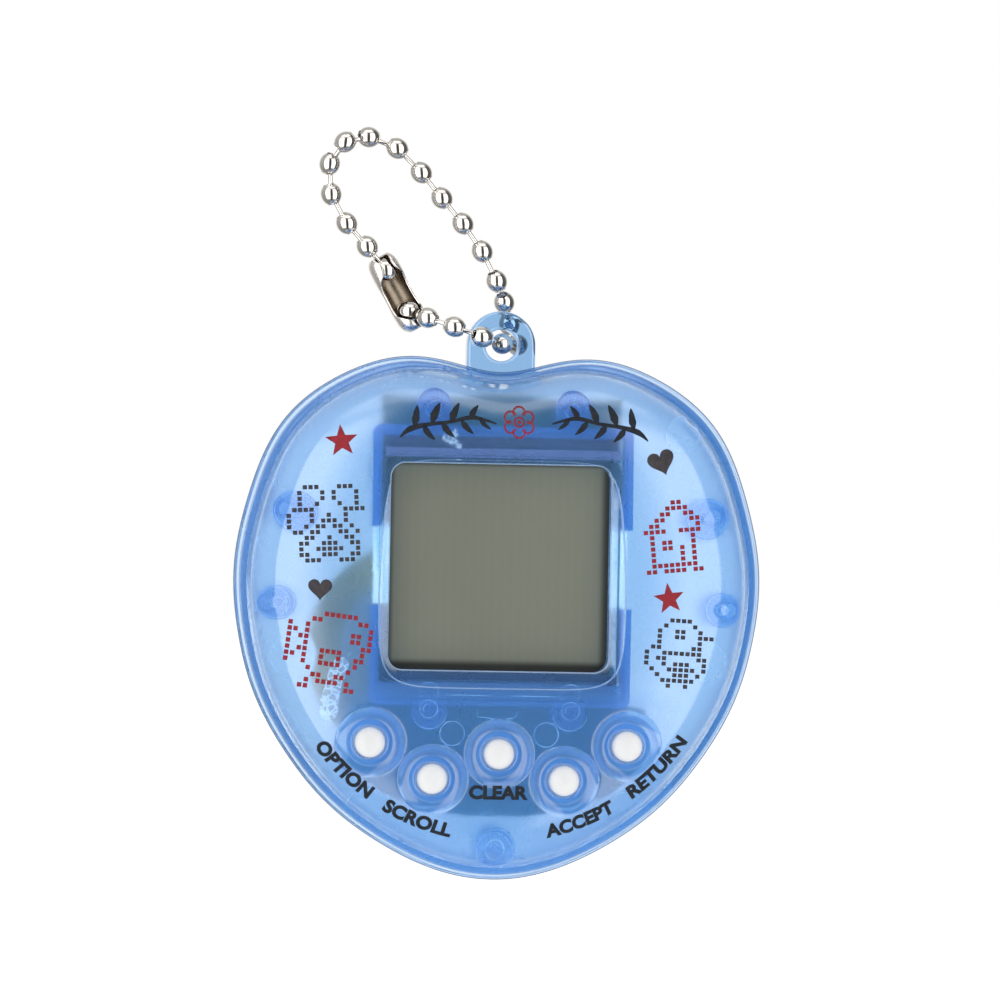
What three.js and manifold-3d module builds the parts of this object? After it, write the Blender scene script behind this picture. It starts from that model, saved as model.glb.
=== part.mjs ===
// Virtual pet keychain: apple-shaped translucent case, square LCD, five push buttons,
// ball chain with a clasp.
// Millimetres. +Z runs up towards the keyring tab, the screen faces -Y, +X is the right hand
// seen from the front. The flat back of the case is the plane y = 0.
// "back" and "front" sizes are y values; the front of a piece has the lower y.
import * as THREE from 'three';
import { mergeVertices } from 'three/addons/utils/BufferGeometryUtils.js';
import Module from 'manifold-3d';

const wasm = await Module();
wasm.setup();

// ---------------------------------------------------------------- shared dimensions
const PART_Y = -7;          // parting plane of the two case halves
const PART_GAP = 0.3;       // gap between the halves
const FRONT_EDGE_Y = PART_Y - PART_GAP / 2;
const REAR_EDGE_Y = PART_Y + PART_GAP / 2;
const OUTSIDE_Y = 1;        // where cuts through the back start, clear of the case

// Buttons: x, z, height of the dome above the parting plane
const BUTTONS = [
  [-13.45, -13.7, 6.95], [-6.9, -17.4, 7.12], [0, -14.7, 7.62],
  [6.9, -17.4, 7.12], [13.45, -13.7, 6.95],
].map(([x, z, height]) => ({ x, z, domeY: PART_Y - height }));
const BUTTON_R = 1.575;

// Alignment bosses: x, z, radius
const BOSSES = [
  [-23.0, 0.7, 1.7], [23.0, 0.7, 1.7], [-21.3, 10.1, 2.0], [21.3, 10.1, 2.0], [0, -24.3, 1.9],
];

const CELL_R = 5.8;
const CELL_X = 6.2;         // the cells lie at -CELL_X and +CELL_X
const CELL_Z = 14.6;
const SCREW_Z = 6.6;

const FINISH = {
  case: { color: 0x6fb4ee, roughness: 0.25 },
  door: { color: 0x6fb4ee, roughness: 0.3 },
  screw: { color: 0xb9bcc0, roughness: 0.3, metalness: 1 },
  cell: { color: 0xc9ccd0, roughness: 0.25, metalness: 1 },
  contact: { color: 0xd2c28a, roughness: 0.3, metalness: 1 },
  board: { color: 0x2f6b3a, roughness: 0.5 },
  chip: { color: 0x111214, roughness: 0.35 },
  crystal: { color: 0xc4c7cb, roughness: 0.3, metalness: 1 },
  capacitor: { color: 0x23314f, roughness: 0.4 },
  frame: { color: 0x5fa8e8, roughness: 0.3 },
  polarizer: { color: 0x8a9478, roughness: 0.35 },
  glass: { color: 0x9aa38a, roughness: 0.1 },
  reflector: { color: 0xa3a893, roughness: 0.45 },
  upperZebra: { color: 0x8c6f8f, roughness: 0.7 },
  lowerZebra: { color: 0x3b3340, roughness: 0.7 },
  button: { color: 0xf4f5f6, roughness: 0.4 },
  carbon: { color: 0x1b1b1d, roughness: 0.7 },
  brass: { color: 0xc9a545, roughness: 0.3, metalness: 1 },
  ceramic: { color: 0xe6e3da, roughness: 0.5 },
  redWire: { color: 0xb5241d, roughness: 0.5 },
  blackWire: { color: 0x1c1c1e, roughness: 0.5 },
  chain: { color: 0xc7c9cc, roughness: 0.15, metalness: 1 },
  clasp: { color: 0xc7c9cc, roughness: 0.2, metalness: 1 },
};

// ---------------------------------------------------------------- meshes and solids
const part = new THREE.Group();
part.name = 'virtual_pet_keychain';

// positions only, shared vertices, no collapsed triangles, faces turned outwards
function weld(geometry) {
  const bare = geometry.clone();
  for (const name of Object.keys(bare.attributes)) {
    if (name !== 'position') bare.deleteAttribute(name);
  }
  const welded = mergeVertices(bare, 1e-4);
  const { position } = welded.attributes;
  const source = welded.index.array;
  const corner = (i) => new THREE.Vector3().fromBufferAttribute(position, i);
  const index = [];
  let volume = 0;
  for (let i = 0; i < source.length; i += 3) {
    const [a, b, c] = source.slice(i, i + 3);
    if (a === b || b === c || a === c) continue;
    index.push(a, b, c);
    volume += corner(a).dot(corner(b).cross(corner(c)));
  }
  if (volume < 0) {
    for (let i = 0; i < index.length; i += 3) {
      [index[i + 1], index[i + 2]] = [index[i + 2], index[i + 1]];
    }
  }
  welded.setIndex(index);
  return welded;
}

function solid(geometry) {
  const welded = weld(geometry);
  return new wasm.Manifold(new wasm.Mesh({
    numProp: 3,
    vertProperties: welded.attributes.position.array,
    triVerts: new Uint32Array(welded.index.array),
  }));
}

function surface(manifold) {
  const mesh = manifold.getMesh();
  const geometry = new THREE.BufferGeometry();
  geometry.setAttribute('position', new THREE.Float32BufferAttribute(mesh.vertProperties, 3));
  geometry.setIndex(new THREE.Uint32BufferAttribute(mesh.triVerts, 1));
  return geometry;
}

const fuse = (base, ...pieces) => pieces.reduce((sum, piece) => sum.add(solid(piece)), base);
const cut = (base, ...pieces) => pieces.reduce((rest, piece) => rest.subtract(solid(piece)), base);

function add(name, shape, finish) {
  const geometry = shape.isBufferGeometry ? weld(shape) : surface(shape);
  geometry.computeVertexNormals();
  const mesh = new THREE.Mesh(geometry, new THREE.MeshStandardMaterial({ name, ...finish }));
  mesh.name = name;
  part.add(mesh);
}

// ---------------------------------------------------------------- basic shapes
// a flat shape drawn in X and Z, given thickness in Y
function plate(shape, back, front, segments) {
  const settings = { depth: back - front, bevelEnabled: false, curveSegments: segments };
  return new THREE.ExtrudeGeometry(shape, settings).rotateX(Math.PI / 2).translate(0, back, 0);
}

function roundedRect({ w, h, r, x = 0, z }) {
  const left = x - w / 2;
  const right = x + w / 2;
  const low = z - h / 2;
  const high = z + h / 2;
  const quarter = Math.PI / 2;
  const shape = new THREE.Shape();
  shape.moveTo(left + r, low);
  shape.lineTo(right - r, low);
  shape.absarc(right - r, low + r, r, -quarter, 0, false);
  shape.lineTo(right, high - r);
  shape.absarc(right - r, high - r, r, 0, quarter, false);
  shape.lineTo(left + r, high);
  shape.absarc(left + r, high - r, r, quarter, Math.PI, false);
  shape.lineTo(left, low + r);
  shape.absarc(left + r, low + r, r, Math.PI, Math.PI * 1.5, false);
  return shape;
}

// round plate with its axis along Y; a different backRadius makes it a cone
function disc(x, z, radius, back, front, segments, backRadius = radius) {
  return new THREE.CylinderGeometry(backRadius, radius, back - front, segments)
    .translate(x, (back + front) / 2, z);
}

// box centred on x = 0
function slab(halfWidth, y0, y1, z0, z1) {
  return new THREE.BoxGeometry(halfWidth * 2, y1 - y0, z1 - z0)
    .translate(0, (y0 + y1) / 2, (z0 + z1) / 2);
}

// profile of [radius, y] turned about Y
function turned(profile, segments, x = 0, z = 0) {
  const points = profile.map(([radius, y]) => new THREE.Vector2(radius, y));
  return new THREE.LatheGeometry(points, segments).translate(x, 0, z);
}

// rounded rectangle tapering from its outer size at the front to its inner size at the back
function taper(outer, front, inner, back) {
  const geometry = plate(roundedRect(inner), back, front, 4);
  const { position } = geometry.attributes;
  for (let i = 0; i < position.count; i++) {
    if (Math.abs(position.getY(i) - front) > 1e-4) continue;
    position.setX(i, position.getX(i) * outer.w / inner.w);
    position.setZ(i, (position.getZ(i) - inner.z) * outer.h / inner.h + outer.z);
  }
  return geometry;
}

// plate with round ends, spanning both cells
function cellPlate(radius, back, front) {
  const shape = new THREE.Shape();
  shape.moveTo(-CELL_X, CELL_Z - radius);
  shape.lineTo(CELL_X, CELL_Z - radius);
  shape.absarc(CELL_X, CELL_Z, radius, -Math.PI / 2, Math.PI / 2, false);
  shape.lineTo(-CELL_X, CELL_Z + radius);
  shape.absarc(-CELL_X, CELL_Z, radius, Math.PI / 2, Math.PI * 1.5, false);
  return plate(shape, back, front, 14);
}

// ---------------------------------------------------------------- case outline
// Outline radius as a cosine series of the angle from +Z, term 0 first
const RIM_COS = [
  27.827, 0.775, -0.104, -1.277, -0.636, -0.578, -0.244,
  -0.176, -0.065, -0.098, -0.075, -0.097, -0.057,
];
// the same outline with the top notch filled
const BODY_COS = [
  27.926, 0.97, 0.087, -1.094, -0.464, -0.419, -0.101, -0.048, 0.047, -0.002, 0.007,
];
const RIM_RHO = 27;         // profile radius that stands for the outline
const NOTCH_FADE = 10;      // inset over which the notch dies out of the dome
const SHELL_SEGMENTS = 50;

function series(coefficients, angle) {
  return coefficients.reduce((sum, c, k) => sum + c * Math.cos(k * angle), 0);
}

// turned profile stretched to the outline: rings keep their height and take its shape
function outlineShell(profile) {
  const geometry = turned(profile, SHELL_SEGMENTS);
  const { position } = geometry.attributes;
  for (let i = 0; i < position.count; i++) {
    const x = position.getX(i);
    const z = position.getZ(i);
    const rho = Math.hypot(x, z);
    const angle = Math.atan2(x, z);
    const fill = THREE.MathUtils.smoothstep(RIM_RHO - rho, 0, NOTCH_FADE);
    const rim = series(RIM_COS, angle);
    const full = series(BODY_COS, angle);
    const radius = (rim + (full - rim) * fill) * rho / RIM_RHO;
    position.setX(i, radius * Math.sin(angle));
    position.setZ(i, radius * Math.cos(angle));
  }
  return solid(geometry);
}

// solid fill just inside a half's outside profile; it trims the bosses
function envelope(baseRho, baseY, outside, shiftY = 0) {
  const inset = outside.map(([rho, y]) => [Math.max(0, rho - 0.05), y + shiftY]);
  return outlineShell([[0, baseY], [baseRho, baseY], ...inset]);
}

// ---------------------------------------------------------------- front half of the case
// Profiles: rho, y
const FRONT_INSIDE = [
  [0, -13.6], [10, -13.5], [19, -12.55], [21.6, -11.8], [23.6, -10.1], [24.7, -8.0],
  [24.9, FRONT_EDGE_Y], [RIM_RHO, FRONT_EDGE_Y],
];
const FRONT_OUTSIDE = [
  [RIM_RHO, -8.2], [26.75, -8.45], [25.8, -8.6], [25.5, -9.0], [24.8, -10.6], [23.8, -12.0],
  [22.4, -13.1], [20, -13.9], [15, -14.6], [7, -15], [0, -15],
];
const WINDOW = { w: 23.0, h: 21.6, z: 4.7, r: 1.4 };    // clear opening over the screen
const BEZEL = { w: 26.6, h: 24.6, z: 4.2 };             // front of the sloped opening
const COLLAR = { w: 25.4, h: 24.2, z: 4.5, r: 2.0 };    // thickening round the opening
// depths count from the dome towards the back
const WELL = { mouthR: 3.93, floorR: 2.7, depth: 1.0, wallR: 3.45, wallBack: -9.7 };
const SKIRT_POCKET = { r: 2.65, depth: 1.85 };
const BUTTON_CLEARANCE = 0.2;
const POCKET_BACK = -9.0;
const PIN = { r: 0.85, back: -4.6, front: -9.6 };

function frontShell() {
  let shell = outlineShell([...FRONT_INSIDE, ...FRONT_OUTSIDE]);
  shell = fuse(shell, plate(roundedRect(COLLAR), -12.75, -13.7, 4));
  shell = cut(shell, taper(BEZEL, -15.4, WINDOW, -12.6));
  for (const { x, z, domeY } of BUTTONS) {
    shell = fuse(shell, disc(x, z, WELL.wallR, WELL.wallBack, domeY + 0.9, 20));
  }
  // sloped dish, pocket for the button's skirt, hole for the button
  for (const { x, z, domeY } of BUTTONS) {
    shell = cut(
      shell,
      disc(x, z, WELL.mouthR, domeY + WELL.depth, domeY - 0.4, 22, WELL.floorR),
      disc(x, z, SKIRT_POCKET.r, POCKET_BACK, domeY + SKIRT_POCKET.depth, 18),
      disc(x, z, BUTTON_R + BUTTON_CLEARANCE, POCKET_BACK, domeY - 1, 18),
    );
  }
  const limit = envelope(26.9, -4, FRONT_OUTSIDE, 0.03);
  for (const [x, z, radius] of BOSSES) {
    shell = shell.add(solid(disc(x, z, radius, -8.2, -14, 14)).intersect(limit));
    shell = fuse(shell, disc(x, z, PIN.r, PIN.back, PIN.front, 10));
  }
  return shell;
}
add('front_shell', frontShell(), FINISH.case);

// ---------------------------------------------------------------- rear half of the case
const WALL = 1.3;
const LIP_Y = -7.85;        // front of the locating lip, inside the front half
// Profiles: rho, y
const REAR_INSIDE = [
  [0, -WALL], [20.6, -WALL], [22.6, -1.95], [23.6, -3.6], [23.85, -5.4], [23.85, LIP_Y],
  [24.45, LIP_Y],
];
const REAR_OUTSIDE = [
  [24.45, REAR_EDGE_Y], [26.9, REAR_EDGE_Y], [26.9, -5.6], [26.65, -5.35], [25.9, -5.2],
  [25.4, -4.0], [24.6, -2.2], [23.5, -0.8], [21.9, 0], [0, 0],
];
const TAB = { r: 3.6, z: 28.0, rootZ: 23.9, back: -4.2, holeR: 1.65 };
const BAY = { r: CELL_R + 0.25, front: -7.25, wallR: CELL_R + 1.4, wallFront: -7.75 };
const BAY_WALL_BACK = -0.6;
const DOOR_RECESS = { r: 6.75, screwR: 2.7 };
const SCREW_POST = { r: 1.75, front: -5.6, holeR: 1.0, holeFront: -5.0 };
const SOCKET = { r: 1.15, back: -3.6, front: -8 };

function keyringTab() {
  const shape = new THREE.Shape();
  shape.moveTo(-TAB.r, TAB.rootZ);
  shape.lineTo(TAB.r, TAB.rootZ);
  shape.lineTo(TAB.r, TAB.z);
  shape.absarc(0, TAB.z, TAB.r, 0, Math.PI, false);
  return plate(shape, TAB.back, REAR_EDGE_Y, 16);
}

function rearShell() {
  let shell = outlineShell([...REAR_INSIDE, ...REAR_OUTSIDE]);
  shell = fuse(shell, keyringTab());
  shell = cut(shell, disc(0, TAB.z, TAB.holeR, 0, -9, 28));
  // battery bay, open at the back and closed at its front end
  shell = fuse(
    shell,
    cellPlate(BAY.wallR, BAY_WALL_BACK, BAY.wallFront),
    disc(0, SCREW_Z, SCREW_POST.r, BAY_WALL_BACK, SCREW_POST.front, 20),
  );
  shell = cut(
    shell,
    cellPlate(DOOR_RECESS.r, OUTSIDE_Y, -WALL),
    disc(0, SCREW_Z, DOOR_RECESS.screwR, OUTSIDE_Y, -WALL, 24),
    cellPlate(BAY.r, 0, BAY.front),
    disc(0, SCREW_Z, SCREW_POST.holeR, 0, SCREW_POST.holeFront, 18),
  );
  // sockets for the alignment pins
  const limit = envelope(24.4, -9, REAR_OUTSIDE);
  for (const [x, z, radius] of BOSSES) {
    shell = shell.add(solid(disc(x, z, radius, -0.3, LIP_Y, 14)).intersect(limit));
    shell = cut(shell, disc(x, z, SOCKET.r, SOCKET.back, SOCKET.front, 10));
  }
  return shell;
}
add('rear_shell', rearShell(), FINISH.case);

// ---------------------------------------------------------------- battery door and its screw
const DOOR = { r: 6.45, screwR: 2.4, back: -0.1, front: -1.15 };
const COUNTERBORE = { r: 1.75, front: -0.65 };
const SCREW = { headR: 1.45, back: -0.12, headFront: -0.6, shankR: 0.7, front: -4.6 };
const CROSS = { halfLength: 0.85, halfWidth: 0.16, front: -0.4, back: 0.2 };   // driver slots

function batteryDoor() {
  const blank = fuse(
    solid(cellPlate(DOOR.r, DOOR.back, DOOR.front)),
    disc(0, SCREW_Z, DOOR.screwR, DOOR.back, DOOR.front, 24),
  );
  return cut(
    blank,
    disc(0, SCREW_Z, COUNTERBORE.r, OUTSIDE_Y, COUNTERBORE.front, 20),
    disc(0, SCREW_Z, SCREW_POST.holeR, OUTSIDE_Y, -3, 18),
  );
}

function doorScrew() {
  const slot = (halfX, halfZ) => (
    slab(halfX, CROSS.front, CROSS.back, SCREW_Z - halfZ, SCREW_Z + halfZ)
  );
  const blank = fuse(
    solid(disc(0, SCREW_Z, SCREW.headR, SCREW.back, SCREW.headFront, 20)),
    disc(0, SCREW_Z, SCREW.shankR, -0.5, SCREW.front, 14),
  );
  return cut(
    blank,
    slot(CROSS.halfLength, CROSS.halfWidth),
    slot(CROSS.halfWidth, CROSS.halfLength),
  );
}
add('battery_door', batteryDoor(), FINISH.door);
add('battery_door_screw', doorScrew(), FINISH.screw);

// ---------------------------------------------------------------- cells, strap and contacts
const CELL_BACK = -1.5;
const CELL_FRONT = CELL_BACK - 5.4;
const CELL_PROFILE = [      // radius, y
  [0, CELL_BACK], [CELL_R - 0.15, CELL_BACK], [CELL_R, -1.7], [CELL_R, -5.4],
  [CELL_R - 0.35, -5.75], [CELL_R - 0.9, -5.85], [CELL_R - 1.05, -6.7],
  [CELL_R - 1.3, CELL_FRONT], [0, CELL_FRONT],
];
const STRAP = { w: 15, h: 4.2, r: 1.2, z: CELL_Z };
const CONTACT = { w: 7.4, h: 4.4, r: 1.0, z: CELL_Z };
const SIDES = [['left', -CELL_X], ['right', CELL_X]];

for (const [side, x] of SIDES) {
  add(`button_cell_${side}`, turned(CELL_PROFILE, 24, x, CELL_Z), FINISH.cell);
}
add('battery_strap', plate(roundedRect(STRAP), -1.2, -1.42, 5), FINISH.contact);
for (const [side, x] of SIDES) {
  const contact = plate(roundedRect({ ...CONTACT, x }), -6.98, -7.17, 4);
  add(`battery_contact_${side}`, contact, FINISH.contact);
}

// ---------------------------------------------------------------- circuit board and its parts
// Right half of the board's outline, top to bottom: x, z
const BOARD_HALF = [
  [12.6, 22.4], [12.6, -9.6], [16.0, -9.9], [16.6, -12.6],
  [15.6, -15.9], [12.2, -18.7], [8, -20.3], [3, -20.8],
];
const BLOB_PROFILE = [[0, -7.9], [4.0, -7.9], [3.7, -7.3], [2.6, -6.75], [0, -6.5]]; // radius, y
const CRYSTAL = { r: 1.0, length: 6.0, x: 11.2, y: -6.85, z: -14.4 };
const CAPACITOR = { x: 1.5, z: -16.4, r: 1.9, back: -4.25, front: -7.85 };

function circuitBoard() {
  const mirrored = BOARD_HALF.map(([x, z]) => [-x, z]).reverse();
  const points = [...BOARD_HALF, ...mirrored].map(([x, z]) => new THREE.Vector2(x, z));
  return plate(new THREE.Shape(points), -8.0, -8.9, 4);
}

// lies along Z
function crystalCan() {
  return new THREE.CylinderGeometry(CRYSTAL.r, CRYSTAL.r, CRYSTAL.length, 14)
    .rotateX(Math.PI / 2)
    .translate(CRYSTAL.x, CRYSTAL.y, CRYSTAL.z);
}

function capacitor() {
  const { x, z, r, back, front } = CAPACITOR;
  return disc(x, z, r, back, front, 16);
}
add('circuit_board', circuitBoard(), FINISH.board);
add('chip_blob', turned(BLOB_PROFILE, 20, 6.0, -3.5), FINISH.chip);
add('crystal_can', crystalCan(), FINISH.crystal);
add('capacitor', capacitor(), FINISH.capacitor);

// ---------------------------------------------------------------- screen
const FRAME = { w: 27.2, h: 29.1, r: 0.8, z: 4.8 };
const FRAME_BACK = -9.0;
const FRAME_POSTS = [[-7.25, -9.85], [7.25, -9.85], [-7.3, 20.2], [7.3, 20.2]];   // x, z
// Layers and rubber connecting strips: name, half width, front y, back y, low z, high z, finish
const SCREEN_LAYERS = [
  ['lcd_front_polarizer', 12.2, -12.25, -12.1, -6.5, 16.1, FINISH.polarizer],
  ['lcd_front_glass', 12.55, -12.05, -11.45, -8.6, 18.3, FINISH.glass],
  ['lcd_rear_glass', 12.55, -11.38, -10.78, -6.7, 16.3, FINISH.glass],
  ['lcd_reflector', 12.2, -10.7, -10.5, -6.5, 16.1, FINISH.reflector],
  ['zebra_strip_upper', 12.0, -11.38, -8.98, 16.75, 18.2, FINISH.upperZebra],
  ['zebra_strip_lower', 12.0, -11.38, -8.98, -8.5, -7.2, FINISH.lowerZebra],
];

function screenFrame() {
  let frame = solid(plate(roundedRect(FRAME), FRAME_BACK, -11.4, 3));
  for (const [x, z] of FRAME_POSTS) {
    frame = fuse(
      frame,
      disc(x, z, 1.9, FRAME_BACK, -10.4, 18),
      disc(x, z, 0.75, FRAME_BACK, -10.9, 14),
    );
  }
  // screen opening, then a notch through both side rails
  return cut(frame, slab(12.85, -12, -8, -8.95, 18.6), slab(15, -12, -10.2, 0.6, 8.8));
}
add('lcd_frame', screenFrame(), FINISH.frame);
for (const [name, halfWidth, front, back, low, high, finish] of SCREEN_LAYERS) {
  add(name, slab(halfWidth, front, back, low, high), finish);
}

// ---------------------------------------------------------------- buttons and carbon pills
const STEM = { r: 1.6, back: -10.45 };
const SKIRT_R = 2.3;
const PILL = { r: 1.25, back: -9.9, front: -10.38 };

function button({ x, z, domeY }) {
  const profile = [
    [0, STEM.back], [STEM.r, STEM.back], [STEM.r, domeY + 2.75], [SKIRT_R, domeY + 2.75],
    [SKIRT_R, domeY + 2.2], [BUTTON_R, domeY + 2.2], [BUTTON_R, domeY + 0.75],
    [1.42, domeY + 0.36], [1.0, domeY + 0.06], [0.5, domeY - 0.06], [0, domeY - 0.1],
  ];
  return turned(profile, 16, x, z);
}
BUTTONS.forEach((place, i) => {
  const pill = disc(place.x, place.z, PILL.r, PILL.back, PILL.front, 16);
  add(`button_${i + 1}`, button(place), FINISH.button);
  add(`button_pill_${i + 1}`, pill, FINISH.carbon);
});

// ---------------------------------------------------------------- piezo sounder and its wires
const PIEZO = { x: -8.0, z: -4.4, plateR: 11.6, ceramicR: 8.2 };
const PIEZO_WIRE_R = 0.35;
// Wire paths: x, y, z
const CERAMIC_WIRE = [[-8.6, -2.9, -5.4], [-9.4, -4.2, -7.6], [-8.0, -6.2, -9.6], [-6.2, -7.4, -9.0]];
const PLATE_WIRE = [
  [-15.6, -2.6, -10.2], [-14.6, -4.4, -12.4], [-12.0, -6.2, -13.2], [-9.6, -7.4, -12.2],
];
const vector = (xyz) => new THREE.Vector3(...xyz);

function strand(points) {
  const extrudePath = new THREE.CatmullRomCurve3(points.map(vector));
  const section = new THREE.Shape();
  section.absarc(0, 0, PIEZO_WIRE_R, 0, Math.PI * 2, false);
  const settings = { steps: 8, curveSegments: 3, extrudePath, bevelEnabled: false };
  return new THREE.ExtrudeGeometry(section, settings);
}
add('piezo_plate', disc(PIEZO.x, PIEZO.z, PIEZO.plateR, -1.75, -2.05, 44), FINISH.brass);
add('piezo_ceramic', disc(PIEZO.x, PIEZO.z, PIEZO.ceramicR, -2.12, -2.36, 36), FINISH.ceramic);
add('piezo_wire_ceramic', strand(CERAMIC_WIRE), FINISH.redWire);
add('piezo_wire_plate', strand(PLATE_WIRE), FINISH.blackWire);

// ---------------------------------------------------------------- ball chain
const BEAD_R = 1.175;
const LINK_R = 0.3;
const LINK_GAP = 0.14;      // between a link wire's end and the next bead
// Bead centres from the clasp's upper end round to its lower end: x, y, z
const BEADS = [
  [-12.23, -5.4, 35.72], [-14.24, -5.5, 38.12], [-16.45, -5.6, 40.52], [-18.15, -5.7, 43.54],
  [-18.38, -5.9, 46.71], [-16.85, -7.0, 48.98], [-14.31, -5.8, 49.6], [-11.29, -5.7, 48.49],
  [-8.71, -5.6, 46.01], [-6.48, -5.5, 43.39], [-4.21, -5.4, 40.75], [-2.1, -5.2, 37.88],
  [-0.49, -4.9, 34.78], [0.49, -3.1, 32.6], [1.15, -1.25, 30.35], [1.95, -2.85, 28.15],
  [0.15, -5.6, 28.2], [-2.15, -8.25, 28.8], [-5.09, -8.1, 29.83], [-7.88, -7.3, 30.74],
  [-9.75, -5.4, 31.4],
].map(vector);
const HUB = 16;             // index of the bead in the tab's hole; all links point towards it

function bead(i) {
  const centre = BEADS[i];
  const ball = new THREE.SphereGeometry(BEAD_R, 11, 8);
  if (i === HUB) return solid(ball.translate(...centre));

  const link = BEADS[i < HUB ? i + 1 : i - 1].clone().sub(centre);
  const reach = link.length() - BEAD_R - LINK_GAP;
  const wire = new THREE.CylinderGeometry(LINK_R, LINK_R, reach, 7).translate(0, reach / 2, 0);
  const up = new THREE.Vector3(0, 1, 0);
  const turn = new THREE.Quaternion().setFromUnitVectors(up, link.normalize());
  const place = (geometry) => geometry.applyQuaternion(turn).translate(...centre);
  return fuse(solid(place(ball)), place(wire));
}
BEADS.forEach((_, i) => {
  add(`chain_bead_${String(i + 1).padStart(2, '0')}`, bead(i), FINISH.chain);
});

// ---------------------------------------------------------------- clasp
const CLASP = { r: 1.75, wall: 0.3, slot: 1.9, turn: THREE.MathUtils.degToRad(25) };
const CLASP_TOP = vector([-13.0, -5.4, 36.98]);
const CLASP_BOTTOM = vector([-8.81, -5.4, 29.66]);

// sleeve along local Y, narrowed at both ends, with a slot along its +Z side
function claspSleeve() {
  const half = CLASP_TOP.distanceTo(CLASP_BOTTOM) / 2;
  const bore = CLASP.r - CLASP.wall;
  const profile = [         // radius, y: up the outside, down the inside
    [0.95, -half], [1.35, -half + 0.35], [CLASP.r, -half + 1.1],
    [CLASP.r, half - 1.1], [1.35, half - 0.35], [0.95, half],
    [0.72, half], [1.05, half - 0.35], [bore, half - 1.15],
    [bore, -half + 1.15], [1.05, -half + 0.35], [0.72, -half], [0.95, -half],
  ];
  const slot = slab(CLASP.slot / 2, -half - 1, half + 1, 0, CLASP.r + 1);
  return surface(cut(solid(turned(profile, 24)), slot));
}

function clasp() {
  const along = CLASP_TOP.clone().sub(CLASP_BOTTOM).normalize();
  const forward = new THREE.Vector3(0, -1, 0);
  const side = new THREE.Vector3().crossVectors(along, forward).normalize();
  // the slot faces forward, turned towards +X
  const outward = forward.multiplyScalar(Math.cos(CLASP.turn))
    .addScaledVector(side, Math.sin(CLASP.turn));
  const across = new THREE.Vector3().crossVectors(along, outward).normalize();
  const middle = CLASP_TOP.clone().add(CLASP_BOTTOM).multiplyScalar(0.5);
  return claspSleeve()
    .applyMatrix4(new THREE.Matrix4().makeBasis(across, along, outward))
    .translate(...middle);
}
add('clasp', clasp(), FINISH.clasp);

export default part;
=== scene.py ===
import math

import bmesh
import bpy
import numpy as np
from mathutils import Matrix, Vector
from mathutils.geometry import delaunay_2d_cdt


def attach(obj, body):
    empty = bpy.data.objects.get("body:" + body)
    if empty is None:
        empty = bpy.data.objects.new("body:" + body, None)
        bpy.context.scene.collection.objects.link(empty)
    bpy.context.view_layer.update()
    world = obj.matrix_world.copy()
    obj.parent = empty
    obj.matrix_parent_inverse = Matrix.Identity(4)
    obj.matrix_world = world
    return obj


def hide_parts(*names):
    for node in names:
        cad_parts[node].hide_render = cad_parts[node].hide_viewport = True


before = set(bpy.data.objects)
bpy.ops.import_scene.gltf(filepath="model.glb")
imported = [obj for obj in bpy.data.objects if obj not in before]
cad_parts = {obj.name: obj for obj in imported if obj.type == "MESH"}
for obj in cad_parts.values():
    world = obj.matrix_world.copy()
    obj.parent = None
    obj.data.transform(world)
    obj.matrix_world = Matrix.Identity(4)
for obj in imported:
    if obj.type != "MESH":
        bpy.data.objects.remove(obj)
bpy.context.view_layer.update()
MM = 0.001
SIDES = (("left", -1), ("right", 1))

# ------------------------------------------------------------------ driving dimensions
# Cosine terms of the outline radius against the angle from +Z: at the rim, and further in
RIM_TERMS = [27.827, 0.775, -0.104, -1.277, -0.636, -0.578, -0.244,
             -0.176, -0.065, -0.098, -0.075, -0.097, -0.057]
BODY_TERMS = [27.926, 0.97, 0.087, -1.094, -0.464, -0.419, -0.101, -0.048, 0.047, -0.002, 0.007]
# A "level" is a radius scaled to the outline: 0 at the centre, RIM_LEVEL on the rim
RIM_LEVEL = 27.0
FRONT_LEVEL = 26.5      # where the front half ends
FRONT_BASE = -7.0       # y from which the heights of the outer front face are measured
INNER_BASE = -7.06      # the same for its inner face

# Rounded rectangles round the screen: width, height, corner radius, centre z
WINDOW_X = -0.3
WINDOW = (23.0, 21.5, 1.5, 4.72)
COLLAR = (25.1, 23.5, 1.6, 4.55)
SCREEN = (23.5, 22.4, 0.3, 4.8)
RECESS_TOP, RECESS_BOTTOM = 15.95, -7.95

# x, z, height of the face above FRONT_BASE
BUTTONS = [(-13.45, -13.7, 6.95), (-6.9, -17.4, 7.12), (0.0, -14.7, 7.62),
           (6.9, -17.4, 7.12), (13.45, -13.7, 6.95)]
BUTTON_HOLE_R = 1.80
WELL_DEPTH, WELL_FLOOR_R, WELL_R = 0.98, 2.42, 3.66
# x, z, radius of the round bosses and of the shallow round marks inside the front face
BOSSES = [(-23.0, 0.7, 1.75), (23.0, 0.7, 1.75), (-21.3, 10.1, 2.1), (21.3, 10.1, 2.1),
          (0.0, -24.3, 2.0)]
MARKS = [(-21.4, -4.7, 2.1), (21.4, -4.7, 2.1), (18.5, 18.6, 1.7), (-4.95, -12.6, 1.3),
         (4.95, -12.6, 1.3), (-13.3, -20.0, 1.8), (13.3, -20.0, 1.8)]
CELL_X, CELL_Z, SCREW_Z = 6.2, 14.6, 6.6

GLUE_SPINE = [(-16.3, -4.9), (-17.1, -7.0), (-17.6, -9.4), (-17.65, -11.4)]
CLEAR_SPOTS = [(-7.3, -10.3), (7.3, -10.3)]
CLEAR_SPOT_R = 1.95


# ------------------------------------------------------------------ outline and section curves
def harmonics(terms, angle):
    return sum(term * np.cos(i * angle) for i, term in enumerate(terms))


def ease(t):
    t = np.clip(t, 0, 1)
    return t * t * (3 - 2 * t)


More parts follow.
